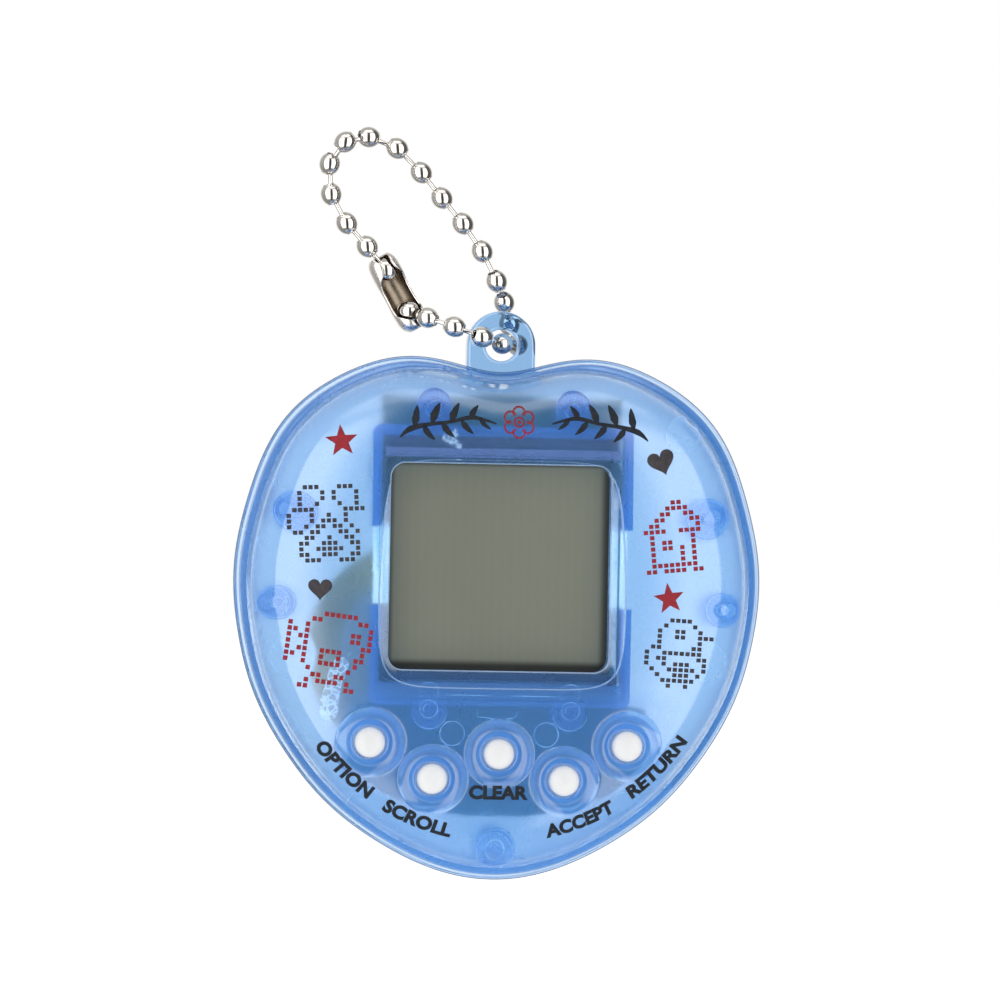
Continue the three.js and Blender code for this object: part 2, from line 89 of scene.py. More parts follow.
def outline_radius(angle, level):
    rim, body = harmonics(RIM_TERMS, angle), harmonics(BODY_TERMS, angle)
    return (rim + (body - rim) * ease((RIM_LEVEL - level) / 10)) * level / RIM_LEVEL


def level_at(x, z):
    """Level of each point, found by bisection."""
    radius, angle = np.hypot(x, z), np.arctan2(x, z)
    low, high = np.zeros_like(radius), np.full_like(radius, 29.0)
    for _ in range(34):
        middle = (low + high) / 2
        too_big = outline_radius(angle, middle) > radius
        high = np.where(too_big, middle, high)
        low = np.where(too_big, low, middle)
    return (low + high) / 2


class Curve:
    """Monotone cubic through (x, y) points."""

    def __init__(self, points):
        points = np.array(sorted(points), float)
        self.x, self.y = points[:, 0], points[:, 1]
        self.steps = np.diff(self.x)
        rise = np.diff(self.y) / self.steps
        self.slopes = np.zeros(len(points))
        self.slopes[0], self.slopes[-1] = rise[0], rise[-1]
        for i in range(1, len(points) - 1):
            if rise[i - 1] * rise[i] > 0:
                before = 2 * self.steps[i] + self.steps[i - 1]
                after = self.steps[i] + 2 * self.steps[i - 1]
                self.slopes[i] = (before + after) / (before / rise[i - 1] + after / rise[i])

    def __call__(self, value):
        value = np.clip(value, self.x[0], self.x[-1])
        i = np.clip(np.searchsorted(self.x, value, side="right") - 1, 0, len(self.steps) - 1)
        width = self.steps[i]
        t = (value - self.x[i]) / width
        return ((1 + 2 * t) * (1 - t) ** 2 * self.y[i]
                + t * (1 - t) ** 2 * width * self.slopes[i]
                + t * t * (3 - 2 * t) * self.y[i + 1]
                + t * t * (t - 1) * width * self.slopes[i + 1])


# (level, height) for the front half, (level, y) for the rear half
FRONT_OUT = Curve([
    (0, 8.0), (8, 7.93), (14, 7.66), (18, 7.28), (20.5, 6.82), (22.0, 6.32), (23.2, 5.62),
    (24.1, 4.75), (24.8, 3.78), (25.3, 2.9), (25.7, 2.28), (26.0, 1.98), (26.25, 1.78),
    (26.42, 1.5), (26.5, 1.1)])
FRONT_IN = Curve([
    (0, 6.6), (8, 6.53), (14, 6.25), (18, 5.85), (20.4, 5.35), (21.9, 4.75), (23.1, 3.85),
    (24.0, 2.75), (24.5, 1.85), (24.8, 1.15), (25.0, 0.5), (25.12, 0.05), (25.2, 0.0), (27, 0.0)])
REAR_OUT = Curve([
    (0, 0), (20.9, 0), (22.0, -0.1), (23.2, -0.6), (24.3, -1.7), (25.0, -3.05), (25.4, -4.3),
    (25.55, -4.95), (25.75, -5.15), (26.3, -5.25), (26.65, -5.4), (26.85, -5.7)])
REAR_IN = Curve([
    (0, -1.3), (20.4, -1.3), (21.6, -1.5), (22.8, -2.3), (23.6, -3.6), (24.1, -4.9),
    (24.5, -5.9), (24.9, -6.6), (25.3, -6.9), (25.6, -6.95), (27, -6.95)])


def behind_face(x, z, gap):
    """y of a point the given gap behind the inside of the front face."""
    return INNER_BASE - FRONT_IN(level_at(np.array([x]), np.array([z])))[0] + gap


def rect_distance(x, z, width, height, corner, centre_z):
    """Signed distance to a rounded rectangle centred on WINDOW_X, negative inside."""
    dx = np.abs(x - WINDOW_X) - width / 2 + corner
    dz = np.abs(z - centre_z) - height / 2 + corner
    outside = np.hypot(np.maximum(dx, 0), np.maximum(dz, 0))
    return outside + np.minimum(np.maximum(dx, dz), 0) - corner


def stadium_distance(x, z, radius):
    """Signed distance to the outline round both button cells."""
    return np.hypot(np.maximum(np.abs(x) - CELL_X, 0), z - CELL_Z) - radius


def step(distance, inside, outside, width=0.05):
    """Steep ramp from one height to another where the distance crosses zero."""
    t = np.clip((distance + width / 2) / width, 0, 1)
    return inside + (outside - inside) * t


def recess_outline(grow=0.0, count=260):
    """Barrel-shaped edge of the recess round the screen."""
    points = []
    middle, half_height = (RECESS_TOP + RECESS_BOTTOM) / 2, (RECESS_TOP - RECESS_BOTTOM) / 2
    for i in range(count):
        angle = 2 * math.pi * i / count
        cosine, sine = math.cos(angle), math.sin(angle)
        scale = (abs(cosine) ** 7 + abs(sine) ** 7) ** (-1 / 7)      # squarish superellipse
        z = middle + sine * scale * (half_height + grow)
        half_width = (12.95 - 1.05 * max(0.0, (z - 2.0) / 14.0) ** 1.6
                      - 0.35 * max(0.0, (2.0 - z) / 10.0) ** 2)
        points.append((cosine * scale * (half_width + grow), z))
    return points


def in_polygon(x, z, polygon):
    starts = np.array(polygon)
    inside = np.zeros(x.shape, bool)
    for (x0, z0), (x1, z1) in zip(starts, np.roll(starts, -1, 0)):
        crossing = (x1 - x0) * (z - z0) / (z1 - z0 + 1e-12) + x0
        inside ^= ((z0 > z) != (z1 > z)) & (x < crossing)
    return inside


def polygon_distance(x, z, polygon):
    starts = np.array(polygon)
    nearest = np.full(x.shape, 1e9)
    for start, end in zip(starts, np.roll(starts, -1, 0)):
        side = end - start
        t = ((x - start[0]) * side[0] + (z - start[1]) * side[1]) / (side @ side + 1e-12)
        t = np.clip(t, 0, 1)
        gap = np.hypot(x - start[0] - t * side[0], z - start[1] - t * side[1])
        nearest = np.minimum(nearest, gap)
    return nearest


RECESS = recess_outline()


def recess_depth(x, z):
    """Distance inwards from the edge of the recess, negative outside it."""
    return polygon_distance(x, z, RECESS) * np.where(in_polygon(x, z, RECESS), 1, -1)


def front_outer(x, z):
    """Height of the outer front face above FRONT_BASE."""
    height = FRONT_OUT(level_at(x, z))
    # recess round the screen, stepping down once more at the window
    near = (np.abs(x) < 15) & (z > -10) & (z < 18)
    inward = recess_depth(x[near], z[near])
    to_window = rect_distance(x[near], z[near], *WINDOW)
    drop = 0.26 * ease((inward + 0.02) / 0.2) + 0.16 * np.clip(inward - 0.2, 0, 3)
    drop = drop + 0.12 * ease((0.16 - to_window) / 0.16)
    height[near] -= np.where(inward > -0.02, drop, 0)
    # dished wells round the buttons
    for cx, cz, face in BUTTONS:
        reach = np.hypot(x - cx, z - cz)
        floor_height = face - WELL_DEPTH
        t = np.clip((reach - WELL_FLOOR_R) / (WELL_R - WELL_FLOOR_R), 0, 1)
        dish = floor_height + (height - floor_height) * (0.25 * t + 0.75 * t * t)
        rounded = np.where(reach < 3.9, np.minimum(dish, height), height)
        flat = floor_height - 0.06 * ease((2.0 - reach) / 0.15)
        height = np.where(reach < WELL_FLOOR_R, flat, rounded)
    # small dimples over the bosses
    for cx, cz, _ in BOSSES:
        height = height - 0.16 * ease((0.95 - np.hypot(x - cx, z - cz)) / 0.9)
    return height


def front_inner(x, z):
    """Height of the inner front face above INNER_BASE."""
    height = FRONT_IN(level_at(x, z))
    height = np.minimum(height, step(rect_distance(x, z, *COLLAR), 5.35, 99.0, 0.1))
    for cx, cz, radius in BOSSES:
        reach = np.hypot(x - cx, z - cz)
        height = np.minimum(height, step(reach - radius, 1.2, 99.0))
        pin = np.minimum(height, step(reach - 0.85, -2.2, 99.0))
        height = np.where(reach < 0.9, pin, height)
    # stepped tubes round the button holes
    for cx, cz, face in BUTTONS:
        reach = np.hypot(x - cx, z - cz)
        seat = face - 1.75
        tube = np.where(reach > 2.9, step(reach - 3.5, 2.85, 99.0), step(reach - 2.5, seat, 2.85))
        height = np.where(reach < 3.6, np.minimum(height, tube), height)
        height = np.where(reach < 2.4, seat, height)
    for cx, cz, radius in MARKS:
        height = height - step(np.hypot(x - cx, z - cz) - radius, 0.07, 0.0, 0.08)
    return height


def rear_outer(x, z):
    """y of the outer rear face, with the recess of the battery door and the cell pockets."""
    y = REAR_OUT(np.minimum(level_at(x, z), 26.85))
    from_screw = np.hypot(x, z - SCREW_Z)
    door_recess = np.minimum(stadium_distance(x, z, 6.72), from_screw - 2.68)
    y = np.minimum(y, step(door_recess, -1.25, 99.0))
    y = np.minimum(y, step(stadium_distance(x, z, 6.05), -7.2, 99.0))
    return np.minimum(y, step(from_screw - 1.0, -5.0, 99.0))


def rear_inner(x, z):
    """y of the inner rear face, with the walls round the cells, the screw and the bosses."""
    level = level_at(x, z)
    y = REAR_IN(level)
    y = np.minimum(y, step(stadium_distance(x, z, 7.15), -7.72, 99.0))
    y = np.minimum(y, step(np.hypot(x, z - SCREW_Z) - 1.75, -5.55, 99.0))
    for cx, cz, radius in BOSSES:
        reach = np.hypot(x - cx, z - cz)
        post = np.minimum(y, step(reach - radius, -7.8, 99.0))
        y = np.where((level < 24.3) & (reach < radius + 0.1), post, y)
        y = np.where(reach < 1.2, np.maximum(y, step(reach - 1.15, -3.6, -99.0)), y)
    return y


# ------------------------------------------------------------------ outline loops, as (x, z) lists
def around(items):
    """Each item with the next one, back to the first."""
    return zip(items, items[1:] + items[:1])


def circle(cx, cz, radius, count):
    angles = [2 * math.pi * i / count for i in range(count)]
    return [(cx + radius * math.cos(a), cz + radius * math.sin(a)) for a in angles]


def resample(points, spacing):
    """Splits each side of a loop into equal parts of about the given length."""
    result = []
    for (x0, z0), (x1, z1) in around(points):
        count = max(1, int(round(math.hypot(x1 - x0, z1 - z0) / spacing)))
        result += [(x0 + (x1 - x0) * k / count, z0 + (z1 - z0) * k / count) for k in range(count)]
    return result


def box_loop(x0, x1, z0, z1, spacing=1.0):
    return resample([(x0, z0), (x1, z0), (x1, z1), (x0, z1)], spacing)


def rect_loop(width, height, corner, centre_z, spacing=0.45):
    """Rounded rectangle centred on WINDOW_X."""
    points = []
    for side, end, start in ((1, -1, -90), (1, 1, 0), (-1, 1, 90), (-1, -1, 180)):
        cx, cz = side * (width / 2 - corner), centre_z + end * (height / 2 - corner)
        for k in range(9):
            angle = math.radians(start + 90 * k / 8)
            points.append((cx + corner * math.cos(angle), cz + corner * math.sin(angle)))
    return [(x + WINDOW_X, z) for x, z in resample(points, spacing)]


def stadium_loop(radius, count=22):
    points = []
    for cx, start in ((CELL_X, -math.pi / 2), (-CELL_X, math.pi / 2)):
        points += [(cx + radius * math.cos(t), CELL_Z + radius * math.sin(t))
                   for t in np.linspace(start, start + math.pi, count)]
    return resample(points, 0.9)


def outline_loop(level, count=240):
    angle = np.arange(count) * 2 * math.pi / count
    radius = outline_radius(angle, np.full(count, float(level)))
    return list(zip((radius * np.sin(angle)).tolist(), (radius * np.cos(angle)).tolist()))


def follow_spine(spine, count):
    """Points along a polyline and their sideways unit vectors."""
    spine = np.array(spine, float)
    t = np.linspace(0, len(spine) - 1, count)
    x = np.interp(t, range(len(spine)), spine[:, 0])
    z = np.interp(t, range(len(spine)), spine[:, 1])
    along_x, along_z = np.gradient(x), np.gradient(z)
    length = np.hypot(along_x, along_z)
    return x, z, -along_z / length, along_x / length


def glue_outline(grow):
    """Loop round the glue strip on the inside of the front face."""
    x, z, side_x, side_z = follow_spine(GLUE_SPINE, 24)
    taper = np.clip(1 - (2 * np.linspace(0, 1, 24) - 1) ** 8, 0.15, 1) ** 0.5
    half = (0.95 + grow) * taper
    one = list(zip((x + side_x * half).tolist(), (z + side_z * half).tolist()))
    other = list(zip((x - side_x * half).tolist(), (z - side_z * half).tolist()))
    return one + other[::-1]


# ------------------------------------------------------------------ mesh builders
def link(mesh, name, mats=()):
    ob = bpy.data.objects.new(name, mesh)
    bpy.context.scene.collection.objects.link(ob)
    for mat in mats:
        mesh.materials.append(mat)
    return ob


def mesh_from(bm, name):
    mesh = bpy.data.meshes.new(name)
    bm.to_mesh(mesh)
    bm.free()
    return mesh


def smooth(ob, angle):
    ob.data.shade_smooth()
    ob.data.set_sharp_from_angle(angle=math.radians(angle))
    return ob


def bevel(ob, width, segments, **settings):
    modifier = ob.modifiers.new("edge", "BEVEL")
    modifier.width = width * MM
    modifier.segments = segments
    modifier.limit_method = "ANGLE"
    for key, value in settings.items():
        setattr(modifier, key, value)


def moulded_bevel(ob, width, segments):
    bevel(ob, width, segments, angle_limit=math.radians(50), harden_normals=True)


def fit(ob, body, slot, *replaced):
    """Ties an object to the frame: the body it rides, a material slot that is not used, the pieces
    it replaces.
    """
    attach(ob, body)
    if replaced:
        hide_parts(*replaced)


def loop_edges(loops):
    """Points of all loops and the edges that close each one."""
    points, edges = [], []
    for loop in loops:
        start, count = len(points), len(loop)
        points += loop
        edges += [(start + i, start + (i + 1) % count) for i in range(count)]
    return points, edges


def triangulate(points, edges):
    """Points, triangles and the x and z of the triangles' centres."""
    coords, _, faces, *_ = delaunay_2d_cdt([Vector(p) for p in points], edges, [], 0, 1e-6)
    coords = np.array([tuple(v) for v in coords])
    faces = np.array([tuple(f) for f in faces if len(f) == 3])
    centres = coords[faces].mean(1)
    return coords, faces, centres[:, 0], centres[:, 1]


def boundary_edges(faces):
    edges = dict.fromkeys(e for a, b, c in faces for e in ((a, b), (b, c), (c, a)))
    return [(a, b) for a, b in edges if (b, a) not in edges]


def sheet(loops, grid, grid_level, edge_level, is_open=None):
    """Triangles of a flat region: loops kept as edges, a grid of points between them."""
    points, edges = loop_edges(loops)
    grid_x, grid_z = [], []
    row, z = 0, -29.0
    while z < 29:
        xs = np.arange(-29 + (grid / 2 if row % 2 else 0), 29, grid)
        grid_x.append(xs)
        grid_z.append(np.full(len(xs), z))
        z += grid * 0.866
        row += 1
    grid_x, grid_z = np.concatenate(grid_x), np.concatenate(grid_z)
    keep = level_at(grid_x, grid_z) < grid_level
    # thin out grid points that fall beside a loop
    cells = {}
    for x, z in points:
        cells.setdefault((int(x // 0.5), int(z // 0.5)), []).append((x, z))
    limit = (grid * 0.5) ** 2
    for x, z in zip(grid_x[keep], grid_z[keep]):
        i, j = int(x // 0.5), int(z // 0.5)
        if all((x - px) ** 2 + (z - pz) ** 2 > limit
               for di in (-1, 0, 1) for dj in (-1, 0, 1)
               for px, pz in cells.get((i + di, j + dj), ())):
            points.append((x, z))
    coords, faces, centre_x, centre_z = triangulate(points, edges)
    inside = level_at(centre_x, centre_z) < edge_level
    if is_open:
        inside &= ~is_open(centre_x, centre_z)
    faces = faces[inside]
    p0, p1, p2 = (coords[faces[:, k]] for k in range(3))
    area = ((p1[:, 0] - p0[:, 0]) * (p2[:, 1] - p0[:, 1])
            - (p2[:, 0] - p0[:, 0]) * (p1[:, 1] - p0[:, 1]))
    solid = np.abs(area) > 1e-9
    faces, area = faces[solid], area[solid]
    faces[area < 0] = faces[area < 0][:, ::-1]
    used = np.unique(faces)
    new_index = -np.ones(len(coords), int)
    new_index[used] = np.arange(len(used))
    return coords[used], new_index[faces]


def point_attribute(mesh, name, front, back):
    """Value per vertex, first for the sheet nearer -Y and then for the other."""
    attribute = mesh.attributes.new(name, "FLOAT", "POINT")
    attribute.data.foreach_set("value", np.concatenate([front, back]).astype(np.float32))


def shell(name, coords, faces, y_front, y_back, mat, frost_front, frost_back):
    """Closed solid between two height fields over the same triangles; y_front is nearer -Y."""
    count = len(coords)
    verts = np.zeros((2 * count, 3))
    for part, y in ((slice(None, count), y_front), (slice(count, None), y_back)):
        verts[part, 0], verts[part, 1], verts[part, 2] = coords[:, 0], y, coords[:, 1]
    # counter-clockwise in X, Z seen from -Y has its normal along -Y
    polygons = [tuple(f) for f in faces] + [tuple(i + count for i in f[::-1]) for f in faces]
    polygons += [(b, a, a + count, b + count) for a, b in boundary_edges(faces)]
    mesh = bpy.data.meshes.new(name)
    mesh.from_pydata((verts * MM).tolist(), [], [tuple(int(i) for i in f) for f in polygons])
    mesh.validate()
    point_attribute(mesh, "frost", frost_front, frost_back)
    return smooth(link(mesh, name, [mat]), 38)


def lathe(name, profile, mat, at, axis=(0, -1, 0), segments=48, closed=False, angle=35):
    """Turned mesh: profile is (radius, distance along the axis from the point at)."""
    turn = Vector((0, 0, 1)).rotation_difference(Vector(axis).normalized()).to_matrix()
    verts, faces, rings = [], [], []
    for radius, along in profile:
        on_axis = radius < 1e-6
        count = 1 if on_axis else segments
        rings.append(list(range(len(verts), len(verts) + count)))
        for k in range(count):
            theta = 2 * math.pi * k / segments
            across = (0, 0) if on_axis else (radius * math.cos(theta), radius * math.sin(theta))
            verts.append(turn @ Vector((*across, along)) + Vector(at))
    pairs = list(zip(rings, rings[1:])) + ([(rings[-1], rings[0])] if closed else [])
    for a, b in pairs:
        if len(a) == 1 and len(b) == 1:
            continue
        for k in range(segments):
            after = (k + 1) % segments
            if len(a) == 1:
                faces.append((a[0], b[after], b[k]))
            elif len(b) == 1:
                faces.append((a[k], a[after], b[0]))
            else:
                faces.append((a[k], a[after], b[after], b[k]))
    mesh = bpy.data.meshes.new(name)
    mesh.from_pydata([tuple(v * MM) for v in verts], [], faces)
    bm = bmesh.new()
    bm.from_mesh(mesh)
    bmesh.ops.recalc_face_normals(bm, faces=bm.faces)
    bm.to_mesh(mesh)
    bm.free()
    return smooth(link(mesh, name, [mat]), angle)


def join(parts, name):
    bm = bmesh.new()
    for part in parts:
        bm.from_mesh(part.data)
    mats = list(parts[0].data.materials)
    for part in parts:
        bpy.data.objects.remove(part)
    return link(mesh_from(bm, name), name, mats)


def extruded(name, loop, y_back, y_front, mat, edge=0.0, segments=3, holes=()):
    """Plate from an outline loop and hole loops, between two Y planes, with bevelled edges."""
    coords, faces, centre_x, centre_z = triangulate(*loop_edges([loop, *holes]))
    inside = in_polygon(centre_x, centre_z, loop)
    for hole in holes:
        inside &= ~in_polygon(centre_x, centre_z, hole)
    faces = faces[inside]
    bm = bmesh.new()
    front = [bm.verts.new((x * MM, y_front * MM, z * MM)) for x, z in coords]
    back = [bm.verts.new((x * MM, y_back * MM, z * MM)) for x, z in coords]
    for face in faces:
        bm.faces.new([front[i] for i in face])
        bm.faces.new([back[i] for i in face[::-1]])
    for a, b in boundary_edges(faces):
        bm.faces.new((front[b], front[a], back[a], back[b]))
    bmesh.ops.recalc_face_normals(bm, faces=bm.faces)
    bmesh.ops.dissolve_limit(bm, angle_limit=math.radians(1), verts=bm.verts, edges=bm.edges)
    ob = smooth(link(mesh_from(bm, name), name, [mat]), 30)
    if edge:
        moulded_bevel(ob, edge, segments)
    return ob


# ------------------------------------------------------------------ shader graph helper
class Graph:
    """Node tree of a material or world. Inputs are given as values or as sockets to link."""

    def __init__(self, owner, output_kind):
        owner.use_nodes = True
        self.tree = owner.node_tree
        self.tree.nodes.clear()
        self.output = self.node(output_kind)

    def node(self, kind, inputs=None, **settings):
        node = self.tree.nodes.new(kind)
        for key, value in settings.items():
            setattr(node, key, value)
        for key, value in (inputs or {}).items():
            if isinstance(value, bpy.types.NodeSocket):
                self.tree.links.new(value, node.inputs[key])
            else:
                node.inputs[key].default_value = value
        return node

    def out(self, kind, inputs=None, output=0, **settings):
        return self.node(kind, inputs, **settings).outputs[output]

    def finish(self, shader, socket="Surface"):
        self.tree.links.new(shader, self.output.inputs[socket])

    def coords(self, output="Object"):
        return self.out("ShaderNodeTexCoord", output=output)

    def attribute(self, name):
        return self.out("ShaderNodeAttribute", output="Fac", attribute_name=name)

    def noise(self, scale, detail=4.0, roughness=0.55, stretch=None):
        vector = self.coords()
        if stretch:
            vector = self.out("ShaderNodeMapping", {"Scale": stretch, "Vector": vector}, "Vector")
        inputs = {"Scale": scale, "Detail": detail, "Roughness": roughness, "Vector": vector}
        return self.out("ShaderNodeTexNoise", inputs, "Fac")

    def ramp(self, source, *stops):
        """Colour ramp through (position, colour) stops."""
        node = self.node("ShaderNodeValToRGB", {"Fac": source})
        while len(node.color_ramp.elements) < len(stops):
            node.color_ramp.elements.new(0.5)
        for element, (position, colour) in zip(node.color_ramp.elements, stops):
            element.position = position
            element.color = (*colour, 1)
        return node.outputs["Color"]

    def remap(self, source, to=(0.0, 1.0), over=(0.3, 0.7), **settings):
        """Maps the range over, by default the useful range of a noise, onto the range to."""
        inputs = {"From Min": over[0], "From Max": over[1], "To Min": to[0], "To Max": to[1],
                  "Value": source}
        return self.out("ShaderNodeMapRange", inputs, "Result", **settings)

    def bump(self, height, strength, distance_mm, **normal):
        inputs = {"Strength": strength, "Distance": distance_mm * MM, "Height": height, **normal}
        return self.out("ShaderNodeBump", inputs, "Normal")

    def math(self, operation, *values, clamp=False):
        inputs = dict(enumerate(values))
        return self.out("ShaderNodeMath", inputs, operation=operation, use_clamp=clamp)

    def mix_colour(self, factor, first, second, blend="MIX"):
        inputs = {"Factor": factor, "A": first, "B": second}
        return self.out("ShaderNodeMix", inputs, "Result", data_type="RGBA", blend_type=blend)

    def mix_shader(self, factor, first, second):
        return self.out("ShaderNodeMixShader", {"Fac": factor, 1: first, 2: second})

    def principled(self, **inputs):
        """Principled shader; underscores in the input names stand for spaces."""
        inputs = {key.replace("_", " "): value for key, value in inputs.items()}
        return self.out("ShaderNodeBsdfPrincipled", inputs)

    def transparent(self, colour=None):
        return self.out("ShaderNodeBsdfTransparent", {"Color": colour} if colour else None)

    def fresnel(self, ior):
        return self.out("ShaderNodeFresnel", {"IOR": ior})


def new_material(name):
    mat = bpy.data.materials.new(name)
    return mat, Graph(mat, "ShaderNodeOutputMaterial")


# ------------------------------------------------------------------ materials
def plain_material(name, colour, roughness, metallic=0.0, scale=900, vary=0.06, bump_mm=0.004,
                   extra=None):
    """Opaque material with fine mottling in colour, roughness and surface."""
    mat, graph = new_material(name)
    mottle = graph.noise(scale)
    colour = np.array(colour)
    base = graph.ramp(mottle, (0.3, np.clip(colour * (1 - vary), 0, 1)),
                      (0.7, np.clip(colour * (1 + vary), 0, 1)))
    roughness = graph.remap(mottle, to=(roughness * 0.8, roughness * 1.25))
    grain = graph.noise(scale * 2.3, detail=6)
    graph.finish(graph.principled(
        Base_Color=base, Roughness=roughness, Metallic=metallic,
        Normal=graph.bump(grain, strength=0.25, distance_mm=bump_mm), **(extra or {})))
    return mat


def shell_material(name, tint, density, frost, haze, haze_colour=(0.22, 0.56, 1.0), ior=1.45,
                   painted=False):
    """Translucent blue moulding, slightly milky and a little bluer where it is thick, with painted
    highlights as pale lines and painted shade as a navy line where the mesh marks them.

    A painted one takes its frosting from the mesh attribute "frost"."""
    mat, graph = new_material(name)
    wave = graph.noise(scale=160, detail=3)
    fine = graph.noise(scale=5200, detail=3)
    cloud = graph.noise(scale=75)
    tint, haze_colour = np.array(tint), (*haze_colour, 1)
    tones = graph.ramp(cloud, (0.3, tint * 0.985), (0.7, np.minimum(tint * 1.012, 1)))
    base = graph.mix_colour(graph.attribute("thin"), tones, (0.97, 0.99, 1.0, 1))
    if painted:
        frosting = graph.attribute("frost")
    else:
        frosting = graph.out("ShaderNodeValue")
        frosting.default_value = 0.25
    polish = 0.02
    even = graph.math("MULTIPLY_ADD", frosting, frost, polish)
    roughness = graph.math("MULTIPLY", even, graph.remap(wave, to=(0.8, 1.2)))
    grain = graph.bump(fine, strength=frosting, distance_mm=0.010)
    normal = graph.bump(wave, strength=0.2, distance_mm=0.03, Normal=grain)
    body = graph.principled(Transmission_Weight=1.0, IOR=ior, Base_Color=base,
                            Roughness=roughness, Normal=normal)
    # milky part: light scattered back and through the hazy plastic, paler along the painted
    # highlight lines
    highlight_lines = graph.attribute("highlight_lines")
    blue = graph.attribute("blue")
    pale = graph.mix_colour(highlight_lines, haze_colour, (0.80, 0.93, 1.0, 1))
    scattered = graph.mix_shader(0.55, graph.out("ShaderNodeBsdfDiffuse", {"Color": pale}),
                                 graph.out("ShaderNodeBsdfTranslucent", {"Color": pale}))
    for part in scattered.node.inputs[1:]:
        part.links[0].from_node.inputs["Color"].default_value = haze_colour
    speckle = graph.noise(scale=3600, detail=2)
    haze_amount = graph.math("MULTIPLY", graph.remap(cloud, to=(haze * 0.85, haze * 1.15)),
                             graph.remap(speckle, to=(0.78, 1.22)))
    blue_haze = graph.math("MULTIPLY_ADD", blue, 0.40, haze_amount)
    # haze of the plastic plus the painted highlight lines
    haze_and_highlights = graph.math("MULTIPLY_ADD", highlight_lines, 0.8, blue_haze, clamp=True)
    hazy_with_highlights = graph.mix_shader(haze_and_highlights, body, scattered)
    # clear outer skin: a sharp reflection that strengthens at grazing angles
    gloss_inputs = {"Roughness": graph.remap(wave, to=(0.03, 0.07)), "Normal": normal}
    gloss = graph.out("ShaderNodeBsdfGlossy", gloss_inputs)
    backfacing = graph.out("ShaderNodeNewGeometry", output="Backfacing")
    facing = graph.math("SUBTRACT", graph.fresnel(1.75), backfacing, clamp=True)
    clear = graph.math("SUBTRACT", 1.0, frosting, clamp=True)
    skinned = graph.mix_shader(graph.math("MULTIPLY", facing, clear), hazy_with_highlights, gloss)
    # painted shade: navy line along the rim's outline where "edge" is set, standing in for the dark
    # edge seen there
    painted_rim_shade = graph.out("ShaderNodeBsdfDiffuse", {"Color": (0.055, 0.12, 0.26, 1)})
    lined = graph.mix_shader(graph.attribute("edge"), skinned, painted_rim_shade)
    # shadows fall through with a light tint
    shadow_ray = graph.out("ShaderNodeLightPath", output="Is Shadow Ray")
    through = graph.transparent((*(0.35 + 0.65 * tint), 1))
    graph.finish(graph.mix_shader(shadow_ray, lined, through))
    absorb = {"Color": (0.05, 0.50, 0.95, 1), "Density": density}
    graph.finish(graph.out("ShaderNodeVolumeAbsorption", absorb), "Volume")
    mat.diffuse_color = (0.4, 0.68, 0.95, 0.6)
    return mat


def board_material():
    """Green circuit board with a fine brick pattern of tracks."""
    mat, graph = new_material("board_green")
    turned = graph.out("ShaderNodeMapping", {
        "Rotation": (math.radians(90), 0, 0), "Vector": graph.coords()}, "Vector")
    bricks = graph.node("ShaderNodeTexBrick", {
        "Scale": 260, "Mortar Size": 0.035, "Color1": (0.045, 0.185, 0.175, 1),
        "Color2": (0.055, 0.210, 0.205, 1), "Mortar": (0.08, 0.27, 0.21, 1), "Vector": turned})
    mottle = graph.ramp(graph.noise(scale=420, detail=5),
                        (0.3, (0.7, 0.75, 0.7)), (0.7, (1.2, 1.2, 1.1)))
    base = graph.mix_colour(0.6, bricks.outputs["Color"], mottle, "MULTIPLY")
    relief = graph.bump(bricks.outputs["Fac"], strength=0.3, distance_mm=0.02)
    graph.finish(graph.principled(Base_Color=base, Roughness=0.42, Normal=relief))
    return mat


# Painted shadow of the opening's edges on the screen: axis, place of the darkest edge, place where
# the shade ends, brightness at the edge
SCREEN_EDGE_SHADOWS = [("X", -11.75, -11.0, 0.40), ("X", 11.2, 9.9, 0.16), ("Z", -5.7, -4.65, 0.12),
                 ("Z", 15.5, 15.05, 0.45)]


def lcd_material():
    """Blank grey-green screen with faint columns, and a painted shadow beside the opening's edges.
    """
    mat, graph = new_material("lcd_film")
    coords = graph.coords()
    position = graph.node("ShaderNodeSeparateXYZ", {0: coords})
    shade = None
    # painted shadow cast by the opening's edges, multiplied into the screen's colour
    for axis, edge, end, darkest in SCREEN_EDGE_SHADOWS:
        side = graph.remap(position.outputs[axis], over=(edge * MM, end * MM))
        side = graph.remap(side, over=(0.0, 1.0), interpolation_type="SMOOTHERSTEP")
        side = graph.remap(side, over=(0.0, 1.0), to=(darkest, 1.0))
        shade = graph.math("MULTIPLY", shade, side) if shade else side
    film = graph.ramp(graph.noise(scale=45, detail=3),
                      (0.3, (0.160, 0.170, 0.131)), (0.7, (0.178, 0.190, 0.149)))
    wave = graph.out("ShaderNodeTexWave", {"Scale": 320, "Vector": coords}, "Fac",
                     wave_type="BANDS", bands_direction="X")
    columns = graph.ramp(wave, (0.0, (0.975, 0.975, 0.975)), (1.0, (1, 1, 1)))
    striped = graph.mix_colour(1, film, columns, "MULTIPLY")
    grey = graph.out("ShaderNodeCombineColor", {"Red": shade, "Green": shade, "Blue": shade})
    base = graph.mix_colour(1, striped, grey, "MULTIPLY")
    graph.finish(graph.principled(Base_Color=base, Roughness=0.42, Specular_IOR_Level=0.3))
    return mat


def clear_glass():
    mat, graph = new_material("lcd_clear_glass")
    smear = graph.noise(scale=240, detail=3)
    tint = graph.ramp(smear, (0.3, (0.90, 0.95, 0.97)), (0.7, (0.96, 0.99, 1.0)))
    gloss = graph.out("ShaderNodeBsdfGlossy", {"Roughness": graph.remap(smear, to=(0.02, 0.10))})
    graph.finish(graph.mix_shader(graph.fresnel(1.5), graph.transparent(tint), gloss))
    return mat


